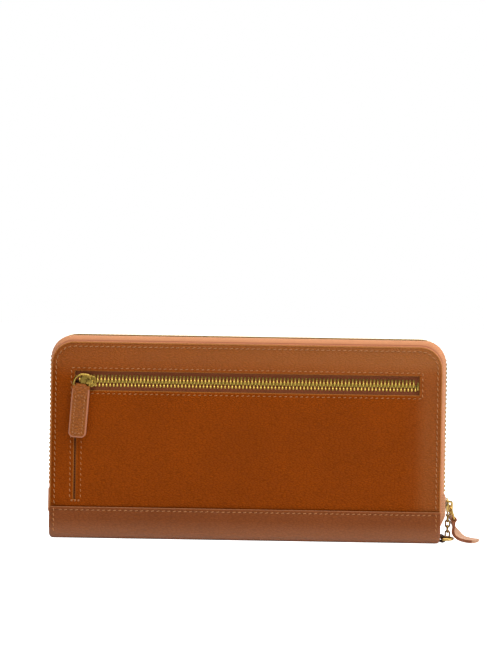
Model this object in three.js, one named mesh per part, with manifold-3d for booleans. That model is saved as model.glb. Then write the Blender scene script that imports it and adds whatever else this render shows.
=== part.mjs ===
// A zip around wallet standing on its spine, in millimetres, +Z up, zip pocket towards -Y.
// The origin is the middle of the underside of the spine.
import * as THREE from 'three';
import { mergeVertices } from 'three/addons/utils/BufferGeometryUtils.js';
import Module from 'manifold-3d';

const wasm = await Module();
wasm.setup();

// ---- driving dimensions ----
const COVER_HALF_WIDTH = 98;
const COVER_TOP = 98.5;
const COVER_BOTTOM = 1.6;
const COVER_CORNER = 11;
const HALF_THICKNESS = 11.5;
const LEATHER = 1.3;
const CLEARANCE = 0.3;

const BAND_TOP = 16;
const BAND_THICKNESS = 0.8;
const BASE_HALF_WIDTH = 97.5;
const BASE_HALF_DEPTH = 12.4;
const BASE_THICKNESS = 1.2;

const ZIP_SHIFT = 1;
const ZIP_TOOTH_WIDTH = 2.2;
const ZIP_TOOTH_THICKNESS = 2.2;
const ZIP_GAP = 1.4;
const ZIP_OUTER_HALF_WIDTH = 101.4;
const ZIP_OUTER_TOP = 102.6;
const ZIP_CORNER = 14.4;
const ZIP_LOWER_END = 25;
const TAPE = 0.7;

const WINDOW = { left: -85.4, right: 86.6, bottom: 74.3, top: 83.9 };
const SLIT = { left: -86.2, bottom: 19.6 };
const POCKET_ZIP_HEIGHT = 78.8;
const POCKET_TOOTH = 1.5;

// How deep under a cover's face each of its layers starts and ends.
const DEPTH = {
  piping: [1.6, 2.4],
  pocketTape: [1.6, 2.2],
  pocketTeeth: [0.7, 2.6],
  slitBacking: [1.6, 2.1],
  pocketLiningFront: [2.5, 2.9],
  pocketLiningBack: [4, 4.4],
  frontBoard: [4.7, 5.5],
  frontLining: [5.8, 6.2],
  backBoard: [3.9, 4.7],
  backLining: [5, 5.4],
  notePocket: [5.9, 6.4],
  gusset: [6.7, 9.7],
  coinWall: [10, 10.6],
};
const FIRST_SLOT_DEPTH = { front: 6.5, back: 6.7 };

const PANEL_HALF_WIDTH = 94.5;
const PANEL_BOTTOM = 4.2;
const PANEL_TOP = 95;
const SLOT_HALF_WIDTH = 88;
const SLOT_TOPS = [84, 74, 64, 54];
const SLOT_THICKNESS = 0.5;

const COIN_HALF_WIDTH = 90;
const COIN_TOP = 84;
const COIN_ZIP_HEIGHT = 86.5;

const SLIDER = { bottom: 14.5, top: 22.2, halfWidth: 4.2, inner: 98.9, outer: 103.4 };
const BAIL_TOP = new THREE.Vector3(104.2, 0, 18);
const BAIL_LENGTH = 6.9;
const BAIL_TILT = 16;
const STRAP = { width: 8.4, layer: 0.8, hole: 0.8 };
const LINK = { length: 4.2, width: 2.8, wire: 0.7, x: 103.4, firstTop: 13.2, step: 2.65 };
const D_RING = { x: 99.6, y: -7, z: 2.35, width: 10, reach: 6.2, wire: 1.5 };
const PULL = { x: -78.6, y: -13.4, z: 79.2, tilt: 4, width: 8.8, length: 26.6, layer: 0.6, gap: 1.4 };

// ---- materials ----
function material(color, roughness, metalness = 0) {
  return new THREE.MeshStandardMaterial({ color, roughness, metalness });
}
const tan = material(0x8c4616, 0.5);
const band = material(0x8a5030, 0.42);
const edge = material(0xc07647, 0.55);
const dark = material(0x382119, 0.6);
const tape = material(0xdd9f70, 0.85);
const brownTape = material(0x70401c, 0.85);
const brass = material(0xb89a3c, 0.32, 1);
const gold = material(0xe0be72, 0.25, 1);
const board = material(0x8d7a63, 0.9);
const lining = material(0x6b4a30, 0.9);
const strapLeather = material(0xdcb091, 0.55);

// ---- helpers ----
const wallet = new THREE.Group();

function add(name, geometry, look) {
  const mesh = new THREE.Mesh(geometry, look);
  mesh.name = name;
  wallet.add(mesh);
  return mesh;
}

function solid(geometry) {
  const bare = geometry.index ? geometry.toNonIndexed() : geometry.clone();
  bare.deleteAttribute('normal');
  bare.deleteAttribute('uv');
  const merged = mergeVertices(bare, 1e-4);
  return new wasm.Manifold(new wasm.Mesh({
    numProp: 3,
    vertProperties: new Float32Array(merged.attributes.position.array),
    triVerts: new Uint32Array(merged.index.array),
  }));
}

function geometryOf(body) {
  const mesh = body.getMesh();
  const geometry = new THREE.BufferGeometry();
  geometry.setAttribute('position', new THREE.BufferAttribute(new Float32Array(mesh.vertProperties), 3));
  geometry.setIndex(new THREE.BufferAttribute(new Uint32Array(mesh.triVerts), 1));
  return geometry;
}

function join(...geometries) {
  return geometryOf(geometries.map(solid).reduce((whole, next) => whole.add(next)));
}

function cut(geometry, ...tools) {
  return geometryOf(tools.map(solid).reduce((whole, next) => whole.subtract(next), solid(geometry)));
}

function box(x0, x1, y0, y1, z0, z1) {
  const geometry = new THREE.BoxGeometry(x1 - x0, y1 - y0, z1 - z0);
  return geometry.translate((x0 + x1) / 2, (y0 + y1) / 2, (z0 + z1) / 2);
}

// Extrudes a shape drawn in X and Z from y0 to y1.
function alongY(shape, y0, y1, options = {}) {
  const settings = { depth: y1 - y0, bevelEnabled: false, curveSegments: 6, ...options };
  return new THREE.ExtrudeGeometry(shape, settings).rotateX(Math.PI / 2).translate(0, y1, 0);
}

// Extrudes a shape drawn in X and Y from z0 to z1.
function alongZ(shape, z0, z1, options = {}) {
  const settings = { depth: z1 - z0, bevelEnabled: false, curveSegments: 6, ...options };
  return new THREE.ExtrudeGeometry(shape, settings).translate(0, 0, z0);
}

function polygon(...points) {
  return new THREE.Shape(points.map(([x, z]) => new THREE.Vector2(x, z)));
}

function roundedRectangle(x0, x1, z0, z1, radius, Kind = THREE.Shape) {
  const shape = new Kind();
  shape.moveTo(x0 + radius, z0);
  shape.lineTo(x1 - radius, z0);
  shape.absarc(x1 - radius, z0 + radius, radius, -Math.PI / 2, 0);
  shape.absarc(x1 - radius, z1 - radius, radius, 0, Math.PI / 2);
  shape.absarc(x0 + radius, z1 - radius, radius, Math.PI / 2, Math.PI);
  shape.absarc(x0 + radius, z0 + radius, radius, Math.PI, 1.5 * Math.PI);
  return shape;
}

// A plate with round top corners and a square foot.
function archShape(halfWidth, bottom, top, radius, middle = 0) {
  const shape = new THREE.Shape();
  shape.moveTo(middle - halfWidth, bottom);
  shape.lineTo(middle + halfWidth, bottom);
  shape.absarc(middle + halfWidth - radius, top - radius, radius, 0, Math.PI / 2);
  shape.absarc(middle - halfWidth + radius, top - radius, radius, Math.PI / 2, Math.PI);
  return shape;
}

// A strip that runs up one side, over the top and down the other, open at the foot.
function archBand(halfWidth, bottom, top, radius, thickness, middle = 0) {
  const inner = { half: halfWidth - thickness, top: top - thickness, radius: radius - thickness };
  const shape = new THREE.Shape();
  shape.moveTo(middle + inner.half, bottom);
  shape.lineTo(middle + halfWidth, bottom);
  shape.absarc(middle + halfWidth - radius, top - radius, radius, 0, Math.PI / 2);
  shape.absarc(middle - halfWidth + radius, top - radius, radius, Math.PI / 2, Math.PI);
  shape.lineTo(middle - halfWidth, bottom);
  shape.lineTo(middle - inner.half, bottom);
  shape.absarc(middle - inner.half + inner.radius, inner.top - inner.radius, inner.radius,
    Math.PI, Math.PI / 2, true);
  shape.absarc(middle + inner.half - inner.radius, inner.top - inner.radius, inner.radius,
    Math.PI / 2, 0, true);
  return shape;
}

// The Y range of a layer that lies between two depths under the face of one cover.
function layer(side, depth0, depth1) {
  const a = side * (HALF_THICKNESS - depth0);
  const b = side * (HALF_THICKNESS - depth1);
  return [Math.min(a, b), Math.max(a, b)];
}

function smoothstep(value) {
  const t = THREE.MathUtils.clamp(value, 0, 1);
  return t * t * (3 - 2 * t);
}

// Widens an arch band from the cover's edge to the crest of the zip as Y nears the middle.
function flare(geometry, edgeY, crestY) {
  const place = geometry.attributes.position;
  const wide = (ZIP_OUTER_HALF_WIDTH - (ZIP_TOOTH_THICKNESS - TAPE) / 2) / COVER_HALF_WIDTH;
  const tall = (ZIP_OUTER_TOP - (ZIP_TOOTH_THICKNESS - TAPE) / 2) / COVER_TOP;
  for (let i = 0; i < place.count; i += 1) {
    const t = smoothstep((place.getY(i) - edgeY) / (crestY - edgeY));
    place.setX(i, place.getX(i) * (1 + (wide - 1) * t) + ZIP_SHIFT * t);
    place.setZ(i, place.getZ(i) * (1 + (tall - 1) * t));
  }
  return geometry;
}

function slab(halfWidth, bottom, top, radius, side, depth0, depth1) {
  return alongY(roundedRectangle(-halfWidth, halfWidth, bottom, top, radius),
    ...layer(side, depth0, depth1), { curveSegments: 3 });
}

// ---- one half of the wallet ----
function frontLeather() {
  const shape = archShape(COVER_HALF_WIDTH, COVER_BOTTOM, COVER_TOP, COVER_CORNER);
  shape.holes.push(new THREE.Path([
    new THREE.Vector2(SLIT.left, SLIT.bottom),
    new THREE.Vector2(WINDOW.left, SLIT.bottom),
    new THREE.Vector2(WINDOW.left, WINDOW.bottom),
    new THREE.Vector2(WINDOW.right, WINDOW.bottom),
    new THREE.Vector2(WINDOW.right, WINDOW.top),
    new THREE.Vector2(SLIT.left, WINDOW.top),
  ]));
  return alongY(shape, ...layer(-1, 0, LEATHER));
}

function backLeather() {
  const shape = archShape(COVER_HALF_WIDTH, COVER_BOTTOM, COVER_TOP, COVER_CORNER);
  return alongY(shape, ...layer(1, 0, LEATHER));
}

function coverEdges(name, side) {
  const piping = archBand(COVER_HALF_WIDTH + 0.5, 5, COVER_TOP + 0.5, COVER_CORNER + 0.5, 3);
  add(`${name}_piping`, alongY(piping, ...layer(side, ...DEPTH.piping)), edge);

  const bandY = layer(side, -CLEARANCE - BAND_THICKNESS, -CLEARANCE);
  const bandShape = roundedRectangle(-COVER_HALF_WIDTH, COVER_HALF_WIDTH, COVER_BOTTOM, BAND_TOP, 2);
  add(`${name}_spine_band`, alongY(bandShape, ...bandY, { curveSegments: 3 }), band);
}

function zipHalf(name, side) {
  const tapeDepth = 2.7;
  const toothY = [ZIP_GAP / 2, ZIP_GAP / 2 + ZIP_TOOTH_WIDTH];
  const tapeInner = toothY[1] + CLEARANCE;
  const tapeShape = archBand(COVER_HALF_WIDTH, ZIP_LOWER_END - 0.4, COVER_TOP, COVER_CORNER, TAPE);
  const [y0, y1] = [-(HALF_THICKNESS - tapeDepth), -tapeInner];
  const wall = flare(alongY(tapeShape, y0, y1, { steps: 6 }), y0, -5);

  const teeth = alongY(archBand(ZIP_OUTER_HALF_WIDTH, ZIP_LOWER_END, ZIP_OUTER_TOP, ZIP_CORNER,
    ZIP_TOOTH_THICKNESS, ZIP_SHIFT), -toothY[1], -toothY[0]);
  add(`${name}_zip_tape`, side < 0 ? wall : flip(wall), tape);
  add(`${name}_zip_teeth`, side < 0 ? teeth : flip(teeth), brass);
}

// Mirrors a geometry from one side of the middle plane to the other.
function flip(geometry) {
  return geometryOf(solid(geometry).mirror([0, 1, 0]));
}

function cardSlots(name, side, firstDepth, tops) {
  tops.forEach((top, i) => {
    const depth = firstDepth + i * (SLOT_THICKNESS + CLEARANCE);
    add(`${name}_card_slot_${i + 1}`,
      slab(SLOT_HALF_WIDTH, PANEL_BOTTOM, top, 2, side, depth, depth + SLOT_THICKNESS), tan);
  });
}

function zipPocket() {
  const tapeY = layer(-1, ...DEPTH.pocketTape);
  const reach = 4.6;
  const half = ZIP_GAP / 2;
  const inner = half + POCKET_TOOTH + CLEARANCE;
  const left = WINDOW.left - 3;
  const right = WINDOW.right + 4;
  const z = POCKET_ZIP_HEIGHT;
  add('pocket_zip_tape_upper', box(left, right, ...tapeY, z + inner, WINDOW.top + reach), brownTape);
  add('pocket_zip_tape_lower', box(left, right, ...tapeY, WINDOW.bottom - 5, z - inner), brownTape);

  const toothY = layer(-1, ...DEPTH.pocketTeeth);
  const start = WINDOW.left + 1;
  const end = WINDOW.right - 1.5;
  add('pocket_zip_teeth_upper', box(start, end, ...toothY, z + half, z + half + POCKET_TOOTH), brass);
  add('pocket_zip_teeth_lower', box(start, end, ...toothY, z - half - POCKET_TOOTH, z - half), brass);
  const stop = box(end + CLEARANCE, end + 1.2, ...toothY, z - 2, z + 2);
  add('pocket_zip_end_stop', stop, brass);

  add('slit_pocket_backing', box(-94, -70, ...layer(-1, ...DEPTH.slitBacking), 14, 69), lining);
  add('pocket_lining_front', box(-90, 90, ...layer(-1, ...DEPTH.pocketLiningFront), 8, 69), lining);
  add('pocket_lining_back', box(-90, 90, ...layer(-1, ...DEPTH.pocketLiningBack), 8, 91), lining);
}

function frontCover() {
  add('front_leather', frontLeather(), tan);
  coverEdges('front', -1);
  zipPocket();
  add('front_board', slab(PANEL_HALF_WIDTH, PANEL_BOTTOM, PANEL_TOP, 8, -1, ...DEPTH.frontBoard), board);
  add('front_lining', slab(PANEL_HALF_WIDTH, PANEL_BOTTOM, PANEL_TOP, 8, -1, ...DEPTH.frontLining), lining);
  cardSlots('front', -1, FIRST_SLOT_DEPTH.front, SLOT_TOPS);
  zipHalf('front', -1);
}

function backCover() {
  add('back_leather', backLeather(), tan);
  coverEdges('back', 1);
  add('back_board', slab(PANEL_HALF_WIDTH, PANEL_BOTTOM, PANEL_TOP, 8, 1, ...DEPTH.backBoard), board);
  add('back_lining', slab(PANEL_HALF_WIDTH, PANEL_BOTTOM, PANEL_TOP, 8, 1, ...DEPTH.backLining), lining);
  add('back_note_pocket', slab(SLOT_HALF_WIDTH + 3, PANEL_BOTTOM, 90, 3, 1, ...DEPTH.notePocket), tan);
  cardSlots('back', 1, FIRST_SLOT_DEPTH.back, SLOT_TOPS.slice(1));
  zipHalf('back', 1);
}

// ---- spine, coin pocket and the lower ends of the zip ----
function spine() {
  const base = roundedRectangle(-BASE_HALF_WIDTH, BASE_HALF_WIDTH, -BASE_HALF_DEPTH, BASE_HALF_DEPTH, 3);
  add('spine_leather', alongZ(base, 0, BASE_THICKNESS, { curveSegments: 4 }), band);
  add('spine_stiffener', box(-87.5, 87.5, -9.5, 9.5, 1.5, 2.3), board);
}

function zipTail(name, side) {
  const face = side > 0 ? 0 : 2;
  const outer = ZIP_OUTER_HALF_WIDTH + ZIP_SHIFT - face;
  const inner = outer - ZIP_TOOTH_THICKNESS;
  const halfWidth = ZIP_GAP / 2 + ZIP_TOOTH_WIDTH;
  const teethShape = polygon([inner, 24], [inner, 13.6], [outer - 5.8, 5.9], [outer - 3.8, 5.4],
    [outer, 13.2], [outer, 24]);
  const teeth = cut(alongY(teethShape, -halfWidth, halfWidth),
    box(90, 110, -ZIP_GAP / 2, ZIP_GAP / 2, 12.6, 30));

  const skin = outer - (ZIP_TOOTH_THICKNESS - TAPE) / 2;
  const tapeShape = polygon([skin, 24], [skin - TAPE, 24], [skin - TAPE, 13.4], [skin - 5.3, 3.4],
    [88, 3.4], [88, 2.7], [skin - 4.8, 2.7], [skin, 13.2]);
  const channel = halfWidth + CLEARANCE;
  const strip = cut(alongY(tapeShape, -7, 7), box(skin - 7, 110, -channel, channel, 0, 30));
  for (const [part, geometry, look] of [['teeth', teeth, brass], ['tape', strip, tape]]) {
    const placed = side > 0 ? geometry : geometryOf(solid(geometry).mirror([1, 0, 0]));
    add(`${name}_zip_end_${part}`, placed, look);
  }
}

function coinPocket() {
  const wall = roundedRectangle(-COIN_HALF_WIDTH, COIN_HALF_WIDTH, PANEL_BOTTOM, COIN_TOP, 2);
  for (const [name, side] of [['front', -1], ['back', 1]]) {
    const wallY = layer(side, ...DEPTH.coinWall);
    add(`coin_pocket_wall_${name}`, alongY(wall, ...wallY, { curveSegments: 3 }), lining);
    const tapeY = layer(side, HALF_THICKNESS - 3.4, HALF_THICKNESS - 2.9);
    add(`coin_zip_tape_${name}`, box(-COIN_HALF_WIDTH, COIN_HALF_WIDTH, ...tapeY, 79, 88), brownTape);
    const toothY = layer(side, HALF_THICKNESS - 2.6, HALF_THICKNESS - ZIP_GAP / 2);
    add(`coin_zip_teeth_${name}`, box(-86, 86, ...toothY, COIN_ZIP_HEIGHT, COIN_ZIP_HEIGHT + 2), brass);
  }
}

function coinSlider() {
  const z = COIN_ZIP_HEIGHT;
  const top = box(-84, -76, -2.6, 2.6, z + 2.3, z + 3.1);
  const bottom = box(-84, -76, -2.4, 2.4, z - 1.1, z - 0.3);
  const post = box(-83, -81, -0.4, 0.4, z - 0.5, z + 2.5);
  const lug = box(-81.8, -80.2, -0.6, 0.6, z + 3, z + 4.6);
  const hole = new THREE.CylinderGeometry(0.55, 0.55, 4, 12).translate(-81, 0, z + 3.85);
  add('coin_slider', cut(join(top, bottom, post, lug), hole), brass);

  const tab = roundedRectangle(-81.6, -73.2, -2.2, 2.2, 0.5);
  const slot = box(-83, -79.7, -0.95, 0.95, z + 3, z + 5);
  const plate = cut(alongZ(tab, z + 3.5, z + 4.2, { curveSegments: 3 }), slot);
  const pin = new THREE.CylinderGeometry(0.35, 0.35, 2.6, 10).translate(-81, 0, z + 3.85);
  add('coin_pull', join(plate, pin), brass);
}

function gussets() {
  for (const [name, side] of [['front', -1], ['back', 1]]) {
    for (const [hand, sign] of [['left', -1], ['right', 1]]) {
      const [x0, x1] = sign < 0 ? [-92.4, -91.4] : [91.4, 92.4];
      add(`${name}_gusset_${hand}`, box(x0, x1, ...layer(side, ...DEPTH.gusset), 6, 76), lining);
    }
  }
}

// ---- main slider and what hangs from it ----
function mainSlider() {
  const { bottom, top, halfWidth, inner, outer } = SLIDER;
  const plate = roundedRectangle(-halfWidth, halfWidth, bottom, top, 2);
  const turn = (geometry, x) => geometry.rotateZ(Math.PI / 2).translate(x, 0, 0);
  const innerPlate = turn(alongY(plate, -1, 0), inner);
  const outerPlate = turn(alongY(plate, -0.7, 0), outer - 0.7);
  const post = box(inner + 0.5, outer - 0.3, -0.4, 0.4, top - 3, top - 0.8);
  const crown = cut(box(outer - 0.2, outer + 2.2, -1.3, 1.3, 15.2, 20.4),
    box(outer, outer + 1.6, -3, 3, 16.1, 19.5));
  const lug = box(outer - 0.8, outer + 0.8, -0.5, 0.5, 12.4, bottom + 1);
  const hole = new THREE.CylinderGeometry(0.5, 0.5, 4, 12).translate(LINK.x, 0, LINK.firstTop);
  add('main_slider', cut(join(innerPlate, outerPlate, post, crown, lug), hole), gold);
}

// A closed wire loop with square shoulders, drawn in Y and Z about its top bar.
function wireLoop(width, length, wire, radius) {
  const half = wire / 2;
  const bevel = wire * 0.28;
  const shape = roundedRectangle(-width / 2 + bevel, width / 2 - bevel,
    -length - half + bevel, half - bevel, radius);
  shape.holes.push(roundedRectangle(-width / 2 + wire - bevel, width / 2 - wire + bevel,
    -length + half - bevel, -half + bevel, Math.max(radius - wire, 0.4), THREE.Path));
  return alongY(shape, -half + bevel, half - bevel, {
    bevelEnabled: true, bevelThickness: bevel, bevelSize: bevel, bevelSegments: 1, curveSegments: 5,
  });
}

function mainBail() {
  const loop = wireLoop(11, BAIL_LENGTH, 1, 1.6).rotateZ(Math.PI / 2);
  loop.rotateY(THREE.MathUtils.degToRad(-BAIL_TILT)).translate(...BAIL_TOP);
  add('main_bail', loop, gold);
}

function chain() {
  for (let i = 0; i < 4; i += 1) {
    const loop = wireLoop(LINK.width, LINK.length - LINK.wire, LINK.wire, LINK.width / 2 - 0.25);
    if (i % 2 === 0) {
      loop.rotateZ(Math.PI / 2);
    }
    loop.translate(LINK.x, 0, LINK.firstTop - i * LINK.step);
    add(`chain_link_${i + 1}`, loop, gold);
  }
}

// The strap hangs from the bail, swings outwards and comes to rest flat on the ground.
function strap() {
  const tilt = THREE.MathUtils.degToRad(BAIL_TILT);
  const eye = new THREE.Vector2(BAIL_TOP.x + BAIL_LENGTH * Math.sin(tilt),
    BAIL_TOP.z - BAIL_LENGTH * Math.cos(tilt));
  const reach = STRAP.hole + STRAP.layer;
  const middle = new THREE.CatmullRomCurve3([
    [0, 0], [0.2, -3.2], [1.4, -6.4], [4.2, -9.1], [8.6, -10.1], [13.2, -10.15],
  ].map(([x, z]) => new THREE.Vector3(x, z, 0)));
  const outline = [];
  const back = [];
  for (const point of middle.getSpacedPoints(22)) {
    const along = middle.getTangentAt(Math.min(1, outline.length / 22));
    outline.push(new THREE.Vector2(point.x - along.y * STRAP.layer, point.y + along.x * STRAP.layer));
    back.unshift(new THREE.Vector2(point.x + along.y * STRAP.layer, point.y - along.x * STRAP.layer));
  }
  const tongue = new THREE.Shape([...outline, ...back]);
  const ring = new THREE.CylinderGeometry(reach, reach, STRAP.width, 20);
  const hole = new THREE.CylinderGeometry(STRAP.hole, STRAP.hole, STRAP.width + 2, 16);
  const body = cut(join(alongY(tongue, -STRAP.width / 2, STRAP.width / 2), ring), hole);
  const place = body.attributes.position;
  for (let i = 0; i < place.count; i += 1) {
    const turn = THREE.MathUtils.degToRad(30 * smoothstep((-place.getZ(i) - 2) / 6));
    const x = place.getX(i);
    const y = place.getY(i);
    place.setX(i, x * Math.cos(turn) + y * Math.sin(turn));
    place.setY(i, y * Math.cos(turn) - x * Math.sin(turn));
  }
  add('pull_strap', body.translate(eye.x, 0, eye.y), strapLeather);
}

// ---- ring and tab at the lower right corner ----
function ringAndTab() {
  const { x, y, z, width, reach, wire } = D_RING;
  const bevel = 0.35;
  const half = width / 2 - bevel;
  const shape = new THREE.Shape();
  const start = -wire / 2 + bevel;
  shape.moveTo(start, -half);
  shape.lineTo(reach - half, -half);
  shape.absarc(reach - half, 0, half, -Math.PI / 2, Math.PI / 2);
  shape.lineTo(start, half);
  const inner = half - wire + 2 * bevel;
  const hole = new THREE.Path();
  hole.moveTo(start + wire - 2 * bevel, -inner);
  hole.lineTo(reach - half, -inner);
  hole.absarc(reach - half, 0, inner, -Math.PI / 2, Math.PI / 2);
  hole.lineTo(start + wire - 2 * bevel, inner);
  shape.holes.push(hole);
  const ring = alongZ(shape, -wire / 2 + bevel, wire / 2 - bevel, {
    bevelEnabled: true, bevelThickness: bevel, bevelSize: bevel, bevelSegments: 1, curveSegments: 10,
  });
  add('d_ring', ring.translate(x, y, z), gold);

  const loop = new THREE.CylinderGeometry(2, 2, 5.8, 20).translate(x, y, z);
  const eye = new THREE.CylinderGeometry(1.05, 1.05, 9, 16).translate(x, y, z);
  const tail = box(88.3, x - 1.4, y - 2.9, y + 2.9, 1.5, 2.35);
  add('ring_tab', cut(join(loop, tail), eye), dark);
}

// ---- pocket slider, its loop and leather pull ----
function pocketSlider() {
  const z = POCKET_ZIP_HEIGHT;
  const plate = roundedRectangle(-83.5, -75.5, z - 2.9, z + 2.9, 1.4);
  const outer = alongY(plate, ...layer(-1, -0.4, 0.4));
  const inner = alongY(plate, ...layer(-1, 2.9, 3.5));
  const post = box(-77.6, -76.2, ...layer(-1, 0.2, 3.1), z - 0.4, z + 0.4);
  const crown = cut(box(PULL.x - 1.9, PULL.x + 1.9, PULL.y - 1.5, -11.8, z - 0.6, z + 1.4),
    box(PULL.x - 1.1, PULL.x + 1.1, PULL.y - 0.85, -11.9, z - 3, z + 3));
  add('pocket_slider', join(outer, inner, post, crown), brass);
}

function pocketPull() {
  const tilt = THREE.MathUtils.degToRad(PULL.tilt);
  const hang = (geometry) => geometry.rotateY(tilt).translate(PULL.x, PULL.y, PULL.z);
  const wire = 1.2;
  const bevel = 0.3;
  const barZ = -3.2;
  const left = -8.6;
  const loop = roundedRectangle(left + bevel, wire / 2 - bevel, barZ - wire / 2 + bevel, 3.4 - bevel, 1.4);
  loop.holes.push(roundedRectangle(left + wire - bevel, -wire / 2 + bevel,
    barZ + wire / 2 - bevel, 3.4 - wire + bevel, 0.8, THREE.Path));
  add('pocket_bail', hang(alongY(loop, -wire / 2 + bevel, wire / 2 - bevel, {
    bevelEnabled: true, bevelThickness: bevel, bevelSize: bevel, bevelSegments: 1, curveSegments: 5,
  })), brass);

  const { width, length, layer: skin, gap } = PULL;
  const middle = (left + wire / 2) / 2;
  const half = gap / 2 + skin;
  const top = barZ + 1;
  const slabShape = roundedRectangle(middle - width / 2, middle + width / 2, top - length, top, 1.2);
  const body = alongY(slabShape, -half, half, { curveSegments: 4 });
  const slot = box(middle - 6, middle + 6, -gap / 2, gap / 2, barZ - 0.85, top + 2);
  const fold = box(middle - 2.6, middle + 2.6, -half, half, barZ + 0.9, barZ + 1.5);
  add('pocket_pull', hang(join(cut(body, slot), fold)), tan);
}

frontCover();
backCover();
spine();
zipTail('right', 1);
zipTail('left', -1);
coinPocket();
coinSlider();
gussets();
mainSlider();
mainBail();
chain();
strap();
ringAndTab();
pocketSlider();
pocketPull();

export default wallet;
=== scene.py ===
"""A zip around wallet standing on its spine, with a zip pocket on its front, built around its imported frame."""
import math
from contextlib import contextmanager
from itertools import chain

import bmesh
import bpy
from bpy.props import FloatProperty, FloatVectorProperty, PointerProperty
from mathutils import Matrix, Vector


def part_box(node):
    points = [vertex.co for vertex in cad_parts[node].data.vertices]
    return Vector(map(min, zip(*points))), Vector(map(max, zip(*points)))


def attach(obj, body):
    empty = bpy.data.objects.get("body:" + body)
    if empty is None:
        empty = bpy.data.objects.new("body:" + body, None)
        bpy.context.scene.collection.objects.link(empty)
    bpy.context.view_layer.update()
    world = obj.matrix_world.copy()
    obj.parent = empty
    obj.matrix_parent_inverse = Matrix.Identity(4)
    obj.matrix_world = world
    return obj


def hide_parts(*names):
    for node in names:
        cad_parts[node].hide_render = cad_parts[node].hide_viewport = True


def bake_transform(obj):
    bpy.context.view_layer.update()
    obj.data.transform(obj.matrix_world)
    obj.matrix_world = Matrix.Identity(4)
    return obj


bl_info = {
    "name": "Zip Around Wallet",
    "version": (1, 0, 0),
    "blender": (4, 5, 0),
    "location": "3D Viewport > Sidebar > Wallet",
    "description": "Builds a zip around wallet with a front zip pocket, piece by piece",
    "category": "Add Mesh",
}

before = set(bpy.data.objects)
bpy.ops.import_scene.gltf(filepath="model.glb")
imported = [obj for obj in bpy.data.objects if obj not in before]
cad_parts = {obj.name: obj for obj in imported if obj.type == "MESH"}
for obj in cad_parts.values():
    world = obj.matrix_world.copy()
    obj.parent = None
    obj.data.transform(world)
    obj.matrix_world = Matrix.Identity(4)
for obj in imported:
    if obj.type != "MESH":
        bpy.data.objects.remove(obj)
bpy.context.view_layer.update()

MM = 0.001
ACROSS = Vector((0, 1, 0))
TOOTH_PITCH = 2.2
POCKET_TOOTH_PITCH = 1.8
EYE = Vector((106.1, 0, 11.37))
PULL_PLACE = Matrix.Translation(Vector((-78.6, -13.4, 79.2)) * MM) @ Matrix.Rotation(math.radians(4), 4, "Y")
COVER_HALF, COVER_TOP, COVER_CORNER = 98, 98.5, 11
CREST_HALF, CREST_TOP, CREST_CORNER = 100.9, 102.6, 14
TAPE_EDGE, TAPE_CREST = -8.8, -5.0
CHAIN_X, CHAIN_TOP, CHAIN_STEP = 103.4, 13.2, 2.65
WINDOW = {"x0": -85.4, "x1": 86.6, "z0": 74.3, "z1": 83.9}
SLIT = {"x0": -86.2, "z0": 19.6}
STITCH_FILL, STITCH_SLANT = 0.74, math.radians(14)


# ---- settings ----
def linear(code):
    """Turns six hex digits into the linear colour that shaders use."""
    parts = [int(code[i : i + 2], 16) / 255 for i in (0, 2, 4)]
    return tuple(c / 12.92 if c <= 0.04045 else ((c + 0.055) / 1.055) ** 2.4 for c in parts)


def colour(label, description, code):
    return FloatVectorProperty(
        name=label, description=description, subtype="COLOR", size=3, min=0, max=1, default=linear(code)
    )


def length(label, description, millimetres):
    return FloatProperty(
        name=label, description=description, default=millimetres * MM, min=0.01 * MM, unit="LENGTH"
    )


class WalletColours(bpy.types.PropertyGroup):
    """Colours of the leathers, cloths and metals"""

    cover: colour("Cover leather", "Pebbled leather of both covers", "893d05")
    band: colour("Spine leather", "Smoother leather that wraps the spine", "7c3e10")
    pull: colour("Pull leather", "Leather of the pocket pull", "96500f")
    edge: colour("Edge leather", "Thin leather binding beside the zip", "d08558")
    rim: colour("Burnished rim", "Painted rims of the pocket pull", "b07050")
    strap: colour("Strap leather", "Face of the pull strap", "c39678")
    strap_rim: colour("Strap rim", "Cut edges of the pull strap", "9a5c3e")
    tab: colour("Ring tab leather", "Dark loop that holds the ring", "3a2218")
    tape: colour("Main zip tape", "Woven tape of the main zip", "dc9463")
    pocket_tape: colour("Pocket zip tape", "Woven tape of the pocket zip", "8c4618")
    lining: colour("Lining", "Woven cloth inside", "7a5534")
    board: colour("Board", "Stiffening board between leather and lining", "9a866c")
    brass: colour("Brass", "Teeth and slider of the pocket zip", "b89a4a")
    gold: colour("Gold plate", "Main slider, chain and ring", "cba65c")
    thread: colour("Thread", "Sewing thread", "c28452")


class WalletSizes(bpy.types.PropertyGroup):
    """Sizes of the sewing and the leather's surface"""

    stitch_pitch: length("Stitch pitch", "Distance from one stitch to the next", 2.7)
    stitch_width: length("Thread thickness", "Thickness of the sewing thread", 0.42)
    seam_inset: length("Edge seam inset", "From the edge of a cover to its seam", 2.2)
    lip_inset: length("Pocket seam inset", "From the edge of the pocket opening to its seam", 1.6)
    grain: length("Grain size", "Width of one pebble of the leather's grain", 1.0)
    turned_edge: length("Turned edge", "Radius of the rolled leather edges", 0.55)


class WalletStage(bpy.types.PropertyGroup):
    """Camera distance and strength of the light"""

    distance: length("Camera distance", "From the camera to the wallet's front", 702)
    roll: FloatProperty(
        name="Camera roll", description="Turn of the picture", default=math.radians(0.95), subtype="ANGLE"
    )
    top_light: FloatProperty(name="Top light", description="Power of the light above", default=11, min=0)
    side_light: FloatProperty(name="Side light", description="Power of the light on the right", default=3, min=0)
    fill: FloatProperty(name="Fill", description="Strength of the light all round", default=0.5, min=0)


# ---- modelling helpers ----
def box(node):
    """Lowest and highest corner of a frame node, in millimetres."""
    low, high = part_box(node)
    return low / MM, high / MM


def alone(piece):
    bpy.ops.object.select_all(action="DESELECT")
    piece.select_set(True)
    bpy.context.view_layer.objects.active = piece


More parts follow.
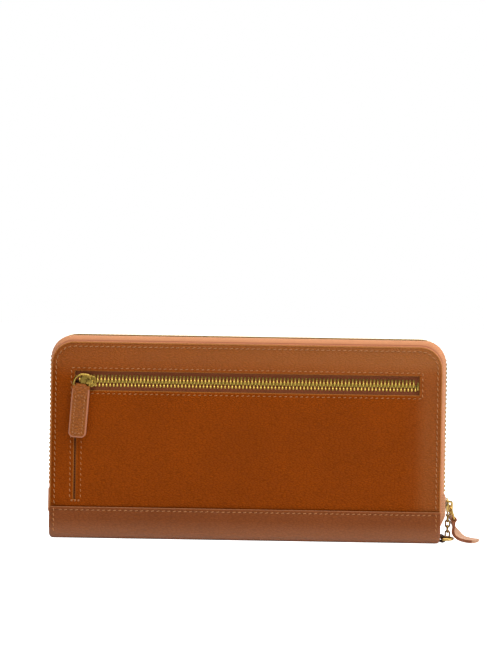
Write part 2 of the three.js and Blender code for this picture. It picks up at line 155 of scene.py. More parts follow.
def fresh(name):
    """Names the new object and moves its place, turn and size into its mesh."""
    piece = bpy.context.object
    piece.name = piece.data.name = name
    bpy.ops.object.transform_apply(location=True, rotation=True, scale=True)
    return piece


@contextmanager
def editing(piece):
    alone(piece)
    bpy.ops.object.mode_set(mode="EDIT")
    bpy.ops.mesh.select_all(action="SELECT")
    yield piece
    bpy.ops.object.mode_set(mode="OBJECT")


def pick(piece, kind, test):
    """Selects the faces, edges or vertices that pass a test on their middle and their direction."""
    bpy.ops.mesh.select_mode(type=kind)
    bpy.ops.mesh.select_all(action="DESELECT")
    mesh = bmesh.from_edit_mesh(piece.data)
    mesh.normal_update()
    if kind == "FACE":
        for face in mesh.faces:
            face.select_set(bool(test(face.calc_center_median() / MM, face.normal)))
    elif kind == "EDGE":
        for edge in mesh.edges:
            a, b = (v.co for v in edge.verts)
            edge.select_set(bool(test((a + b) / 2 / MM, (b - a).normalized())))
    else:
        for vertex in mesh.verts:
            vertex.select_set(bool(test(vertex.co / MM, vertex.normal)))
    bmesh.update_edit_mesh(piece.data)


def block(name, low, high):
    """Adds a box between two corners."""
    low, high = Vector(low), Vector(high)
    bpy.ops.object.select_all(action="DESELECT")
    bpy.ops.mesh.primitive_cube_add(size=1, location=(low + high) / 2 * MM)
    bpy.context.object.scale = (high - low) * MM
    return fresh(name)


def upright(name, x0, x1, z0, z1, y):
    """Adds a flat rectangle that faces the front."""
    bpy.ops.object.select_all(action="DESELECT")
    place = Vector(((x0 + x1) / 2, y, (z0 + z1) / 2)) * MM
    bpy.ops.mesh.primitive_plane_add(size=1, location=place, rotation=(math.pi / 2, 0, 0))
    bpy.context.object.scale = ((x1 - x0) * MM, (z1 - z0) * MM, 1)
    return fresh(name)


def outline(name, points, closed=True):
    """Lays a ring of vertices through the points."""
    bpy.ops.object.select_all(action="DESELECT")
    bpy.ops.mesh.primitive_circle_add(vertices=len(points), radius=MM, fill_type="NOTHING")
    piece = fresh(name)
    for vertex, point in zip(piece.data.vertices, points):
        vertex.co = Vector(point) * MM
    if not closed:
        last = (Vector(points[0]) + Vector(points[-1])) / 2
        with editing(piece):
            pick(piece, "EDGE", lambda p, d: (p - last).length < 1e-3)
            bpy.ops.mesh.delete(type="EDGE")
    return piece


def cloth(name, rows):
    """Lays a grid through rows of points; it faces columns crossed with rows."""
    bpy.ops.object.select_all(action="DESELECT")
    bpy.ops.mesh.primitive_grid_add(x_subdivisions=len(rows[0]) - 1, y_subdivisions=len(rows) - 1, size=1)
    piece = fresh(name)
    for vertex, point in zip(piece.data.vertices, chain.from_iterable(rows)):
        vertex.co = Vector(point) * MM
    return piece


def modify(piece, kind, **settings):
    modifier = piece.modifiers.new(kind.title(), kind)
    for key, value in settings.items():
        setattr(modifier, key, value)
    alone(piece)
    bpy.ops.object.modifier_apply(modifier=modifier.name)
    return piece


def thicken(piece, thickness, rim=0.15, side=-1):
    """Gives a cloth its thickness behind its face and softens its rims."""
    modify(piece, "SOLIDIFY", thickness=thickness * MM, offset=side)
    if rim:
        modify(piece, "BEVEL", width=rim * MM, segments=2, limit_method="ANGLE", angle_limit=math.radians(50))
    return piece


def extrude(x=0.0, y=0.0, z=0.0):
    bpy.ops.mesh.extrude_region_move(TRANSFORM_OT_translate={"value": (x * MM, y * MM, z * MM)})


def inset(thickness, rise=0.0):
    bpy.ops.mesh.inset(thickness=thickness * MM, depth=rise * MM, use_boundary=True, use_even_offset=True)


def roll_edge(radius, steps=4):
    """Rolls the border of the selected faces over a quarter circle."""
    for i in range(steps):
        a, b = (math.pi / 2 * k / steps for k in (i, i + 1))
        inset(radius * (math.cos(a) - math.cos(b)), radius * (math.sin(b) - math.sin(a)))


def cut_through(piece, xs=(), ys=(), zs=()):
    """Cuts edges through the whole piece at the given places."""
    for places, normal in ((xs, (1, 0, 0)), (ys, (0, 1, 0)), (zs, (0, 0, 1))):
        for place in places:
            bpy.ops.mesh.select_all(action="SELECT")
            bpy.ops.mesh.bisect(plane_co=Vector(normal) * place * MM, plane_no=normal, threshold=1e-7)


def face_out(piece):
    with editing(piece):
        bpy.ops.mesh.normals_make_consistent(inside=False)
    return piece


def to_back(piece):
    """Mirrors a piece from the front cover to the back cover."""
    with editing(piece):
        bpy.ops.transform.resize(value=(1, -1, 1), center_override=(0, 0, 0))
        bpy.ops.mesh.flip_normals()
    return piece


def gather(name, pieces):
    """Joins several shells into one piece."""
    bpy.ops.object.select_all(action="DESELECT")
    for piece in pieces:
        piece.select_set(True)
    bpy.context.view_layer.objects.active = pieces[0]
    bpy.ops.object.join()
    return fresh(name)


def copies(name, pattern, places):
    """Copies a pattern to each place and joins the copies; the pattern goes."""
    twins = []
    for place in places:
        twin = pattern.copy()
        twin.data = pattern.data.copy()
        twin.matrix_world = place
        bpy.context.scene.collection.objects.link(twin)
        twins.append(twin)
    bpy.data.objects.remove(pattern)
    return gather(name, twins)


def place_mesh(piece, matrix):
    """Moves a piece drawn about the origin to its place."""
    piece.matrix_world = matrix
    alone(piece)
    bpy.ops.object.transform_apply(location=True, rotation=True, scale=True)
    return piece


def settle(piece, body, finish, slot, *nodes, angle=35):
    """Smooths a finished piece, gives it its finish and hangs it on its body when the body is named; a piece given more
    than one body stays in place unhung.
    """
    alone(piece)
    bpy.ops.object.shade_smooth_by_angle(angle=math.radians(angle))
    if finish:
        piece.data.materials.clear()
        piece.data.materials.append(FINISHES[finish])
    if isinstance(body, str):
        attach(piece, body)
    else:
        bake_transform(piece)
    if nodes:
        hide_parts(*nodes)
    return piece


def dress(piece, *finishes):
    """Gives a piece its finishes; every face starts with the first."""
    piece.data.materials.clear()
    for name in finishes:
        piece.data.materials.append(FINISHES[name])


def mark(piece, name, value):
    """Writes a number on each vertex, worked out from its place."""
    layer = piece.data.attributes.new(name, "FLOAT", "POINT")
    for vertex, item in zip(piece.data.vertices, layer.data):
        item.value = value(vertex.co / MM)


# ---- lines ----
def arc(x, z, radius, start, end, steps=12):
    angles = (math.radians(start + (end - start) * i / steps) for i in range(steps + 1))
    return [(x + radius * math.cos(a), z + radius * math.sin(a)) for a in angles]


def arch(half, bottom, top, corner, middle=0.0):
    """Points up the right side, over the top and down the left side, in X and Z."""
    points = [(middle + half, bottom)]
    points += arc(middle + half - corner, top - corner, corner, 0, 90)
    points += arc(middle - half + corner, top - corner, corner, 90, 180)
    return points + [(middle - half, bottom)]


def rounded(x0, x1, z0, z1, radius, steps=5):
    """Points round a rectangle with round corners, in X and Z."""
    points = arc(x1 - radius, z0 + radius, radius, -90, 0, steps)
    points += arc(x1 - radius, z1 - radius, radius, 0, 90, steps)
    points += arc(x0 + radius, z1 - radius, radius, 90, 180, steps)
    return points + arc(x0 + radius, z0 + radius, radius, 180, 270, steps)


def walk(points, pitch=None, count=None, phase=0.5):
    """Even places along a line of points: the place and the direction there."""
    points = [Vector(p) for p in points]
    spans = [(b - a).length for a, b in zip(points, points[1:])]
    total = sum(spans)
    if count:
        stations = [total * i / (count - 1) for i in range(count)]
    else:
        number = max(round(total / pitch), 1)
        stations = [(i + phase) * total / number for i in range(number)]
    places, passed, index = [], 0.0, 0
    for station in stations:
        while index < len(spans) - 1 and passed + spans[index] < station:
            passed += spans[index]
            index += 1
        a, b = points[index], points[index + 1]
        places.append((a.lerp(b, (station - passed) / spans[index]), (b - a).normalized()))
    return places


def even(points, count):
    return [place for place, _ in walk(points, count=count)]


def smooth(value):
    t = min(max(value, 0.0), 1.0)
    return t * t * (3 - 2 * t)


# ---- shader helpers ----
class Graph:
    """A node tree that is being wired up."""

    def __init__(self, tree):
        self.tree = tree

    def add(self, kind, inputs=None, **options):
        node = self.tree.nodes.new("ShaderNode" + kind)
        for key, value in options.items():
            setattr(node, key, value)
        for key, value in (inputs or {}).items():
            if isinstance(value, bpy.types.NodeSocket):
                self.tree.links.new(value, node.inputs[key])
            else:
                node.inputs[key].default_value = value
        return node

    def math(self, operation, first, second=0.0, clamp=False):
        node = self.add("Math", {0: first, 1: second}, operation=operation, use_clamp=clamp)
        return node.outputs[0]

    def span(self, value, low, high, to_low=0.0, to_high=1.0, kind="SMOOTHSTEP"):
        node = self.add("MapRange", {0: value, 1: low, 2: high, 3: to_low, 4: to_high}, interpolation_type=kind)
        return node.outputs[0]

    def blend(self, factor, first, second, blend_type="MIX"):
        node = self.add("Mix", data_type="RGBA", blend_type=blend_type)
        for index, value in ((0, factor), (6, first), (7, second)):
            if isinstance(value, bpy.types.NodeSocket):
                self.tree.links.new(value, node.inputs[index])
            else:
                node.inputs[index].default_value = value
        return node.outputs[2]


def effect(name, inputs, outputs):
    """Starts a node group with named numbers in and out."""
    tree = bpy.data.node_groups.new(name, "ShaderNodeTree")
    for label, value in inputs:
        socket = tree.interface.new_socket(label, in_out="INPUT", socket_type="NodeSocketFloat")
        socket.default_value = value
    for label in outputs:
        tree.interface.new_socket(label, in_out="OUTPUT", socket_type="NodeSocketFloat")
    entry, leave = tree.nodes.new("NodeGroupInput"), tree.nodes.new("NodeGroupOutput")
    return Graph(tree), entry.outputs, leave.inputs


def pebble_grain():
    """Leather pebbles of one size, a little wider than tall, with fine wrinkles on them."""
    g, given, out = effect("pebble_grain", [("Size", 0.001), ("Wrinkles", 0.2)], ["Height", "Creases"])
    place = g.add("TexCoord").outputs["Object"]
    stretched = g.add("Mapping", {"Vector": place, "Scale": (0.55, 1.0, 1.25)}).outputs[0]
    drift = g.add("TexNoise", {"Vector": stretched, "Scale": 330.0, "Detail": 2.0})
    centred = g.add("VectorMath", {0: drift.outputs["Color"], 1: (0.5, 0.5, 0.5)}, operation="SUBTRACT")
    shift = g.add("VectorMath", {0: centred.outputs[0], 3: 0.0011}, operation="SCALE")
    moved = g.add("VectorMath", {0: stretched, 1: shift.outputs[0]}, operation="ADD").outputs[0]
    scale = g.math("DIVIDE", 1.0, given["Size"])
    cells = g.add("TexVoronoi", {"Vector": moved, "Scale": scale}, feature="DISTANCE_TO_EDGE")
    domes = g.span(cells.outputs["Distance"], 0.0, 0.32)
    fine = g.add("TexNoise", {"Vector": moved, "Scale": g.math("MULTIPLY", scale, 2.6), "Detail": 3.0})
    wrinkle = g.math("MULTIPLY", fine.outputs[0], given["Wrinkles"])
    g.tree.links.new(g.math("ADD", domes, wrinkle), out["Height"])
    g.tree.links.new(g.span(cells.outputs["Distance"], 0.02, 0.14, 1.0, 0.0), out["Creases"])
    return g.tree


def slow_tone():
    """Cloudy unevenness of colour and polish, from hand size down to finger size."""
    g, given, out = effect("slow_tone", [("Size", 0.03)], ["Tone", "Specks"])
    place = g.add("TexCoord").outputs["Object"]
    scale = g.math("DIVIDE", 1.0, given["Size"])
    clouds = g.add("TexNoise", {"Vector": place, "Scale": scale, "Detail": 3.0, "Roughness": 0.55})
    specks = g.add("TexNoise", {"Vector": place, "Scale": g.math("MULTIPLY", scale, 40.0), "Detail": 2.0})
    g.tree.links.new(g.span(clouds.outputs[0], 0.3, 0.7), out["Tone"])
    g.tree.links.new(g.span(specks.outputs[0], 0.35, 0.7), out["Specks"])
    return g.tree


def plain_weave():
    """Over and under threads counted along the piece's own UV map."""
    g, given, out = effect("plain_weave", [("Along", 300.0), ("Across", 12.0)], ["Height", "Shade"])
    spot = g.add("SeparateXYZ", {0: g.add("TexCoord").outputs["UV"]})
    u = g.math("MULTIPLY", spot.outputs[0], given["Along"])
    v = g.math("MULTIPLY", spot.outputs[1], given["Across"])
    waves = []
    for first, second in ((u, v), (v, u)):
        row = g.math("FLOOR", second)
        shifted = g.math("ADD", first, g.math("MULTIPLY", row, 0.5))
        waves.append(g.math("ABSOLUTE", g.math("SINE", g.math("MULTIPLY", shifted, math.pi))))
    lifted = g.math("MULTIPLY", waves[0], waves[1])
    g.tree.links.new(lifted, out["Height"])
    g.tree.links.new(g.span(lifted, 0.05, 0.6), out["Shade"])
    return g.tree


def cloth_weave():
    """A fine twill in the plane of the covers."""
    g, given, out = effect("cloth_weave", [("Pitch", 0.0005)], ["Height", "Shade"])
    spot = g.add("SeparateXYZ", {0: g.add("TexCoord").outputs["Object"]})
    x = g.math("DIVIDE", g.math("ADD", spot.outputs[0], spot.outputs[1]), given["Pitch"])
    z = g.math("DIVIDE", g.math("SUBTRACT", spot.outputs[2], spot.outputs[1]), given["Pitch"])
    diagonal = g.math("SINE", g.math("MULTIPLY", g.math("ADD", x, z), math.pi))
    thread = g.math("SINE", g.math("MULTIPLY", g.math("MULTIPLY", x, 2.0), math.pi))
    height = g.math("ADD", g.math("MULTIPLY", diagonal, 0.35), g.math("MULTIPLY", thread, 0.15))
    height = g.math("ADD", height, 0.5)
    g.tree.links.new(height, out["Height"])
    g.tree.links.new(g.span(height, 0.1, 0.8), out["Shade"])
    return g.tree


def hand_wear():
    """Tiny scratches and dull spots of handled metal."""
    g, given, out = effect("hand_wear", [("Scale", 900.0)], ["Dull", "Dents"])
    place = g.add("TexCoord").outputs["Object"]
    long = g.add("Mapping", {"Vector": place, "Scale": (1.0, 1.0, 9.0)}).outputs[0]
    scratches = g.add("TexNoise", {"Vector": long, "Scale": given["Scale"], "Detail": 4.0})
    spots = g.add("TexNoise", {"Vector": place, "Scale": g.math("MULTIPLY", given["Scale"], 0.4), "Detail": 2.0})
    dull = g.math("MULTIPLY", g.span(scratches.outputs[0], 0.4, 0.75), 0.6)
    dull = g.math("ADD", dull, g.math("MULTIPLY", g.span(spots.outputs[0], 0.45, 0.7), 0.4))
    g.tree.links.new(dull, out["Dull"])
    g.tree.links.new(spots.outputs[0], out["Dents"])
    return g.tree


FINISHES = {}


def finish_graph(name):
    """Starts a material and returns its graph and its main shader."""
    material = bpy.data.materials.new(name)
    material.use_nodes = True
    FINISHES[name] = material
    graph = Graph(material.node_tree)
    return graph, material.node_tree.nodes["Principled BSDF"]


def use(graph, name, **values):
    node = graph.add("Group", node_tree=bpy.data.node_groups[name])
    for key, value in values.items():
        node.inputs[key].default_value = value
    return node.outputs


def wire_up(graph, shader, tint, rough, height=None, depth=0.0, strength=0.5):
    graph.tree.links.new(tint, shader.inputs["Base Color"])
    graph.tree.links.new(rough, shader.inputs["Roughness"])
    if height:
        bump = graph.add("Bump", {"Height": height, "Distance": depth * MM, "Strength": strength})
        graph.tree.links.new(bump.outputs[0], shader.inputs["Normal"])


def shade(value, factor):
    return (*(min(c * factor, 1.0) for c in value), 1.0)


# The last argument is the colour of the painted edge highlights and the painted sheen.
def leather(name, tint, grain, rough=0.46, relief=0.2, gloss=0.3, sheen_gloss=0.0, contrast=1.0,
            highlight_tint=linear("b9774c")):
    """Leather with a pebbled or fine grain, darker creases and cloudy polish, plus painted shade, painted highlights
    and painted sheen where its attributes mark them.
    """
    g, shader = finish_graph(name)
    pebbles = use(g, "pebble_grain", Size=grain, Wrinkles=0.2)
    clouds = use(g, "slow_tone", Size=0.035)
    body = g.blend(clouds["Tone"], shade(tint, 1 - 0.07 * contrast), shade(tint, 1 + 0.06 * contrast))
    specks = g.math("MULTIPLY", clouds["Specks"], 0.2 * contrast)
    body = g.blend(specks, body, shade(tint, 1.5))
    creases = g.math("MULTIPLY", pebbles["Creases"], 0.5 * contrast)
    body = g.blend(creases, body, shade(tint, 0.5))
    # Painted shade: darkens the marked creases, seam lines and sunk lines, where shade falls.
    painted_shade = g.add("Attribute", attribute_name="painted_shade").outputs["Fac"]
    body = g.blend(g.math("MULTIPLY", painted_shade, 0.6), body, shade(tint, 0.42))
    # Painted highlight: lightens the marked rolled edges, pocket lips and fold tops where light from above catches
    # them.
    edge_highlight = g.add("Attribute", attribute_name="edge_highlight").outputs["Fac"]
    body = g.blend(g.math("MULTIPLY", edge_highlight, 0.75), body, (*highlight_tint, 1))
    # Painted sheen: lightens the marked margins where light from the upper right or the floor's reflection falls, and
    # adds gloss there.
    painted_sheen = g.add("Attribute", attribute_name="painted_sheen").outputs["Fac"]
    body = g.blend(g.math("MULTIPLY", painted_sheen, 0.3), body, (*highlight_tint, 1))
    polish = g.math("ADD", g.math("MULTIPLY", pebbles["Creases"], 0.16), rough - 0.05)
    polish = g.math("ADD", polish, g.math("MULTIPLY", clouds["Tone"], 0.08), clamp=True)
    wire_up(g, shader, body, polish, pebbles["Height"], relief, 0.85)
    shine = g.math("ADD", g.math("MULTIPLY", painted_sheen, sheen_gloss), gloss)
    g.tree.links.new(shine, shader.inputs["Specular IOR Level"])


def woven(name, tint, along, across):
    """Zip tape woven along the piece."""
    g, shader = finish_graph(name)
    weave = use(g, "plain_weave", Along=along, Across=across)
    clouds = use(g, "slow_tone", Size=0.012)
    body = g.blend(weave["Shade"], shade(tint, 0.6), shade(tint, 1.08))
    body = g.blend(g.math("MULTIPLY", clouds["Tone"], 0.18), body, shade(tint, 0.75))
    # Painted shadow: the marked strip of tape beside the binding is darkened towards a shadow colour.
    painted_shade = g.add("Attribute", attribute_name="painted_shade").outputs["Fac"]
    shadow = (tint[0] * 0.5, tint[1] * 0.34, tint[2] * 0.27, 1)
    body = g.blend(g.math("MULTIPLY", painted_shade, 0.9), body, shadow)
    polish = g.math("ADD", g.math("MULTIPLY", clouds["Specks"], 0.1), 0.8)
    wire_up(g, shader, body, polish, weave["Height"], 0.12, 0.8)
    shader.inputs["Sheen Weight"].default_value = 0.15


def lining_cloth(name, tint):
    g, shader = finish_graph(name)
    weave = use(g, "cloth_weave", Pitch=0.00055)
    clouds = use(g, "slow_tone", Size=0.02)
    body = g.blend(weave["Shade"], shade(tint, 0.68), shade(tint, 1.12))
    body = g.blend(g.math("MULTIPLY", clouds["Tone"], 0.2), body, shade(tint, 0.8))
    polish = g.math("ADD", g.math("MULTIPLY", clouds["Specks"], 0.08), 0.78)
    wire_up(g, shader, body, polish, weave["Height"], 0.1, 0.7)
    shader.inputs["Sheen Weight"].default_value = 0.2


def metal(name, tint, rough):
    g, shader = finish_graph(name)
    wear = use(g, "hand_wear", Scale=1400.0)
    body = g.blend(g.math("MULTIPLY", wear["Dull"], 0.5), shade(tint, 1.0), shade(tint, 0.62))
    polish = g.math("ADD", g.math("MULTIPLY", wear["Dull"], 0.22), rough)
    wire_up(g, shader, body, polish, wear["Dents"], 0.03, 0.25)
    shader.inputs["Metallic"].default_value = 1.0


def board_finish(name, tint):
    g, shader = finish_graph(name)
    clouds = use(g, "slow_tone", Size=0.004)
    body = g.blend(clouds["Specks"], shade(tint, 0.8), shade(tint, 1.1))
    polish = g.math("ADD", g.math("MULTIPLY", clouds["Tone"], 0.08), 0.85)
    wire_up(g, shader, body, polish, clouds["Specks"], 0.05, 0.4)


def thread_finish(name, tint):
    """Twisted sewing thread, with the twist running across each stitch."""
    g, shader = finish_graph(name)
    spot = g.add("SeparateXYZ", {0: g.add("TexCoord").outputs["Object"]})
    slope = g.math("ADD", spot.outputs[0], g.math("MULTIPLY", spot.outputs[2], 0.8))
    twist = g.math("SINE", g.math("MULTIPLY", slope, 14000.0))
    ply = g.span(twist, -0.6, 0.8)
    clouds = use(g, "slow_tone", Size=0.006)
    body = g.blend(ply, shade(tint, 0.55), shade(tint, 1.15))
    body = g.blend(g.math("MULTIPLY", clouds["Tone"], 0.55), body, shade(tint, 0.6))
    polish = g.math("ADD", g.math("MULTIPLY", clouds["Specks"], 0.1), 0.55)
    wire_up(g, shader, body, polish, ply, 0.06, 0.6)
    shader.inputs["Specular IOR Level"].default_value = 0.15


def make_finishes(colours, sizes):
    for build in (pebble_grain, slow_tone, plain_weave, cloth_weave, hand_wear):
        build()
    # The tints given here colour the painted edge highlights and painted sheen; the extra gloss raises the shine where
    # the sheen is painted.
    leather("pebbled_leather", colours.cover, sizes.grain, gloss=0.03, sheen_gloss=0.18,
            highlight_tint=linear("b07838"))
    leather("spine_band_leather", colours.band, sizes.grain * 1.2, rough=0.38, relief=0.1, gloss=0.22, sheen_gloss=0.4,
            contrast=0.8, highlight_tint=linear("a87044"))
    leather("edge_leather", colours.edge, 0.0006, rough=0.5, relief=0.03, contrast=0.7)
    leather("pull_leather", colours.pull, sizes.grain, rough=0.4, relief=0.3, gloss=0.25, contrast=1.3)
    leather("burnished_rim", colours.rim, 0.0005, rough=0.36, relief=0.02, contrast=0.6)
    leather("strap_leather", colours.strap, 0.0007, rough=0.5, relief=0.03, gloss=0.15, contrast=0.6)
    leather("strap_rim", colours.strap_rim, 0.0005, rough=0.42, relief=0.03, gloss=0.15, contrast=0.9)
    leather("tab_leather", colours.tab, 0.0007, rough=0.4, relief=0.05)
    leather("slot_leather", colours.band, 0.0008, rough=0.48, relief=0.05)
    woven("main_tape_cloth", colours.tape, 620.0, 11.0)
    woven("pocket_tape_cloth", colours.pocket_tape, 330.0, 12.0)
    lining_cloth("lining_cloth", colours.lining)
    metal("zip_brass", colours.brass, 0.24)
    metal("gold_plate", colours.gold, 0.16)
    board_finish("grey_board", colours.board)
    thread_finish("sewing_thread", colours.thread)


# ---- operators ----
class PieceMaker:
    """Base of the operators that make pieces."""

    bl_options = {"REGISTER"}

    def execute(self, context):
        self.build(context.scene.wallet_colours, context.scene.wallet_sizes, context.scene.wallet_stage)
        return {"FINISHED"}


class WALLET_OT_finishes(PieceMaker, bpy.types.Operator):
    """Make the leathers, cloths, metals and thread"""

    bl_idname = "wallet.finishes"
    bl_label = "Finishes"

    def build(self, colours, sizes, stage):
        make_finishes(colours, sizes)
        for node in ("front_board", "back_board", "spine_stiffener"):
            dress(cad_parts[node], "grey_board")


def in_opening(p):
    window = SLIT["x0"] < p.x < WINDOW["x1"] and WINDOW["z0"] < p.z < WINDOW["z1"]
    slit = SLIT["x0"] < p.x < WINDOW["x0"] and SLIT["z0"] < p.z < WINDOW["z1"]
    return window or slit


def opening_distance(p):
    """How far a point of the cover is from the pocket's opening."""
    dx = max(SLIT["x0"] - p.x, p.x - WINDOW["x1"], 0)
    window = math.hypot(dx, max(WINDOW["z0"] - p.z, p.z - WINDOW["z1"], 0))
    dx = max(SLIT["x0"] - p.x, p.x - WINDOW["x0"], 0)
    return min(window, math.hypot(dx, max(SLIT["z0"] - p.z, p.z - WINDOW["z1"], 0)))


def edge_distance(p, half, top, corner):
    """How far a point of the cover is inside its sides and top."""
    x, z = half - abs(p.x), top - p.z
    if x < corner and z < corner:
        return corner - math.hypot(corner - x, corner - z)
    return min(x, z)


def cover_leather(name, node, sizes, opening):
    """One cover's leather: rolled edges, a crease beside them and a sunk line for the seam, with painted shade in the
    crease and seam lines, painted highlights on the rolled edges and a painted sheen on the top and right margins.
    """
    low, high = box(node)
    if low.y > 0:
        low.y, high.y = -high.y, -low.y
    thickness = high.y - low.y
    turned, seam, lip = sizes.turned_edge / MM, sizes.seam_inset / MM, sizes.lip_inset / MM
    piece = upright(name, low.x, high.x, low.z, high.z, high.y)
    with editing(piece):
        if opening:
            cut_through(piece, xs=(SLIT["x0"], WINDOW["x0"], WINDOW["x1"]),
                        zs=(SLIT["z0"], WINDOW["z0"], WINDOW["z1"]))
            pick(piece, "FACE", lambda p, n: in_opening(p))
            bpy.ops.mesh.delete(type="FACE")
        pick(piece, "VERT", lambda p, n: abs(p.x) > 97.9 and p.z > 98)
        bpy.ops.mesh.bevel(offset=COVER_CORNER * MM, segments=16, affect="VERTICES")
        bpy.ops.mesh.select_all(action="SELECT")
        extrude(y=-(thickness - turned))
        roll_edge(turned)
        done = turned
        for ring in (0.8, 1.0, 1.2, lip - 0.2, lip, lip + 0.2, seam - 0.2, seam, seam + 0.2, seam + 0.6):
            inset(ring - done)
            done = ring
        cut_through(piece, xs=[x + 0.35 for x in range(-96, 97, 6)],
                    zs=[15.6, 16.1, 16.7, *(z + 0.35 for z in range(20, 96, 5))])
        bpy.ops.mesh.select_all(action="SELECT")
        bpy.ops.mesh.normals_make_consistent(inside=False)
    front = low.y + 0.02

    def border(p):
        return edge_distance(p, high.x, high.z, COVER_CORNER)

    # Painted shade in the crease beside the edge, on the cover below the band's top and along the seam lines; the same
    # mask sinks them.
    def painted_shade(p):
        if p.y > front:
            return 0.0
        groove = max(1 - abs(border(p) - 1.0) / 0.2, 1 - max(p.z - 16.1, 0) / 0.6, 0)
        sewn = 1 - min(abs(border(p) - seam) / 0.2, 1)
        if opening:
            sewn = max(sewn, 1 - min(abs(opening_distance(p) - lip) / 0.2, 1))
        return max(groove, 0.7 * sewn)

    # Painted highlight on the rolled edges and the pocket's lips, where light from above catches them.
    def edge_highlight(p):
        lips = 0.7 * (1 - smooth(opening_distance(p) / 0.6)) if opening else 0
        return max(1 - smooth(border(p) / 0.6), lips)

    # Painted sheen on the top margin, stronger to the right, and on the right margin, as lit from the upper right.
    def painted_sheen(p):
        top = smooth((p.z - 80) / 10) * (0.45 + 0.55 * (p.x + COVER_HALF) / (2 * COVER_HALF))
        return max(top, 0.45 * smooth((p.x - 82) / 10))

    mark(piece, "painted_shade", painted_shade)
    mark(piece, "edge_highlight", edge_highlight)
    mark(piece, "painted_sheen", painted_sheen)
    for vertex in piece.data.vertices:
        p = vertex.co / MM
        if p.y < high.y - 0.1:
            fall = 0.8 * max(1 - border(p) / 13, 0) ** 2
            # The painted shade mask also sinks its lines by 0.14 mm.
            vertex.co.y += (fall * (high.y - p.y) / thickness + 0.14 * painted_shade(p)) * MM
    return piece


class WALLET_OT_cover_leather(PieceMaker, bpy.types.Operator):
    """Make the leather of both covers"""

    bl_idname = "wallet.cover_leather"
    bl_label = "Cover leather"

    def build(self, colours, sizes, stage):
        for side in ("front", "back"):
            piece = cover_leather(f"{side}_cover_leather", f"{side}_leather", sizes, side == "front")
            if side == "back":
                to_back(piece)
            settle(piece, f"{side}_cover", "pebbled_leather", "tan_leather", f"{side}_leather")


def spine_wrap(name):
    """Half of the leather that wraps the spine, from the middle of the base up to its folded edge."""
    low, high = box("front_spine_band")
    face, top = low.y, high.z
    profile = [(0, 0), (-3, 0), (-6, 0), (-8.6, 0)]
    profile += [(face + 3 + 3 * math.cos(a), 3 + 3 * math.sin(a)) for a in
                (math.radians(-90 - 11.25 * i) for i in range(1, 9))]
    profile += [(face, z) for z in (5, 7.5, 10, 12, 13, top - 1.85)]
    profile += [(face + 0.1, top - 1.6), (face, top - 1.35), (face - 0.02, top - 0.9), (face, top - 0.5),
                (face + 0.08, top - 0.25), (face + 0.28, top - 0.06), (face + 0.5, top)]
    xs = [-98, -97.8, -97.4, -96.8, -96] + list(range(-94, 95, 4)) + [96, 96.8, 97.4, 97.8, 98]
    rows = []
    for y, z in profile:
        row = []
        for x in xs:
            end = min(max((abs(x) - 96) / 2, 0), 1)
            lift = 1.5 * (1 - math.sqrt(1 - end * end)) * max(1 - z / 6, 0)
            tuck = 0.35 * (1 - math.sqrt(1 - end * end)) * (1 if z > 3 else z / 3)
            row.append((x, y + tuck, z + lift))
        rows.append(row)
    # Painted shade along the sunk seam line below the fold.
    def painted_shade(p):
        return 0.8 * (1 - min(abs(p.z - top + 1.6) / 0.25, 1)) if p.y < face + 0.3 else 0

    piece = thicken(cloth(name, rows), 0.8, 0)
    mark(piece, "painted_shade", painted_shade)
    # Painted highlight on the top of the fold.
    mark(piece, "edge_highlight", lambda p: 0.6 * max(1 - (top - p.z) / 0.5, 0))
    # Painted reflection of the white floor on the band's lower part.
    mark(piece, "painted_sheen", lambda p: 0.75 * smooth((11 - p.z) / 9))
    return piece


class WALLET_OT_spine_wrap(PieceMaker, bpy.types.Operator):
    """Make the leather that wraps the spine and rolls up both covers"""

    bl_idname = "wallet.spine_wrap"
    bl_label = "Spine wrap"

    def build(self, colours, sizes, stage):
        for side, out, nodes in (("front", -1, ["front_spine_band", "spine_leather"]),
                                 ("back", 1, ["back_spine_band"])):
            piece = spine_wrap(f"{side}_spine_wrap")
            if side == "back":
                to_back(piece)
            bend = ("spine", f"{side}_cover", (0, out * 0.009, 0), (0, out * 0.0126, 0.0036))
            settle(piece, bend, "spine_band_leather", "band_leather", *nodes)


def binding(name):
    """The thin leather between cover and zip, rolled over its outer edge."""
    low, high = box("front_piping")
    rows = []
    for reach, y in ((0.0, 0.35), (0.0, 0.12), (-0.12, 0.0), (-0.4, 0.0), (-1.6, 0.0), (-3.0, 0.0)):
        line = arch(high.x + reach, low.z, high.z + reach, COVER_CORNER + 0.5 + reach)
        rows.append([(x, low.y + y, z) for x, z in even(line, 120)])
    return thicken(cloth(name, rows), 0.7, 0.15)


class WALLET_OT_edge_binding(PieceMaker, bpy.types.Operator):
    """Make the thin leather binding between each cover and the zip"""

    bl_idname = "wallet.edge_binding"
    bl_label = "Edge binding"

    def build(self, colours, sizes, stage):
        for side in ("front", "back"):
            piece = binding(f"{side}_binding")
            if side == "back":
                to_back(piece)
            settle(piece, f"{side}_cover", "edge_leather", "edge_leather", f"{side}_piping")


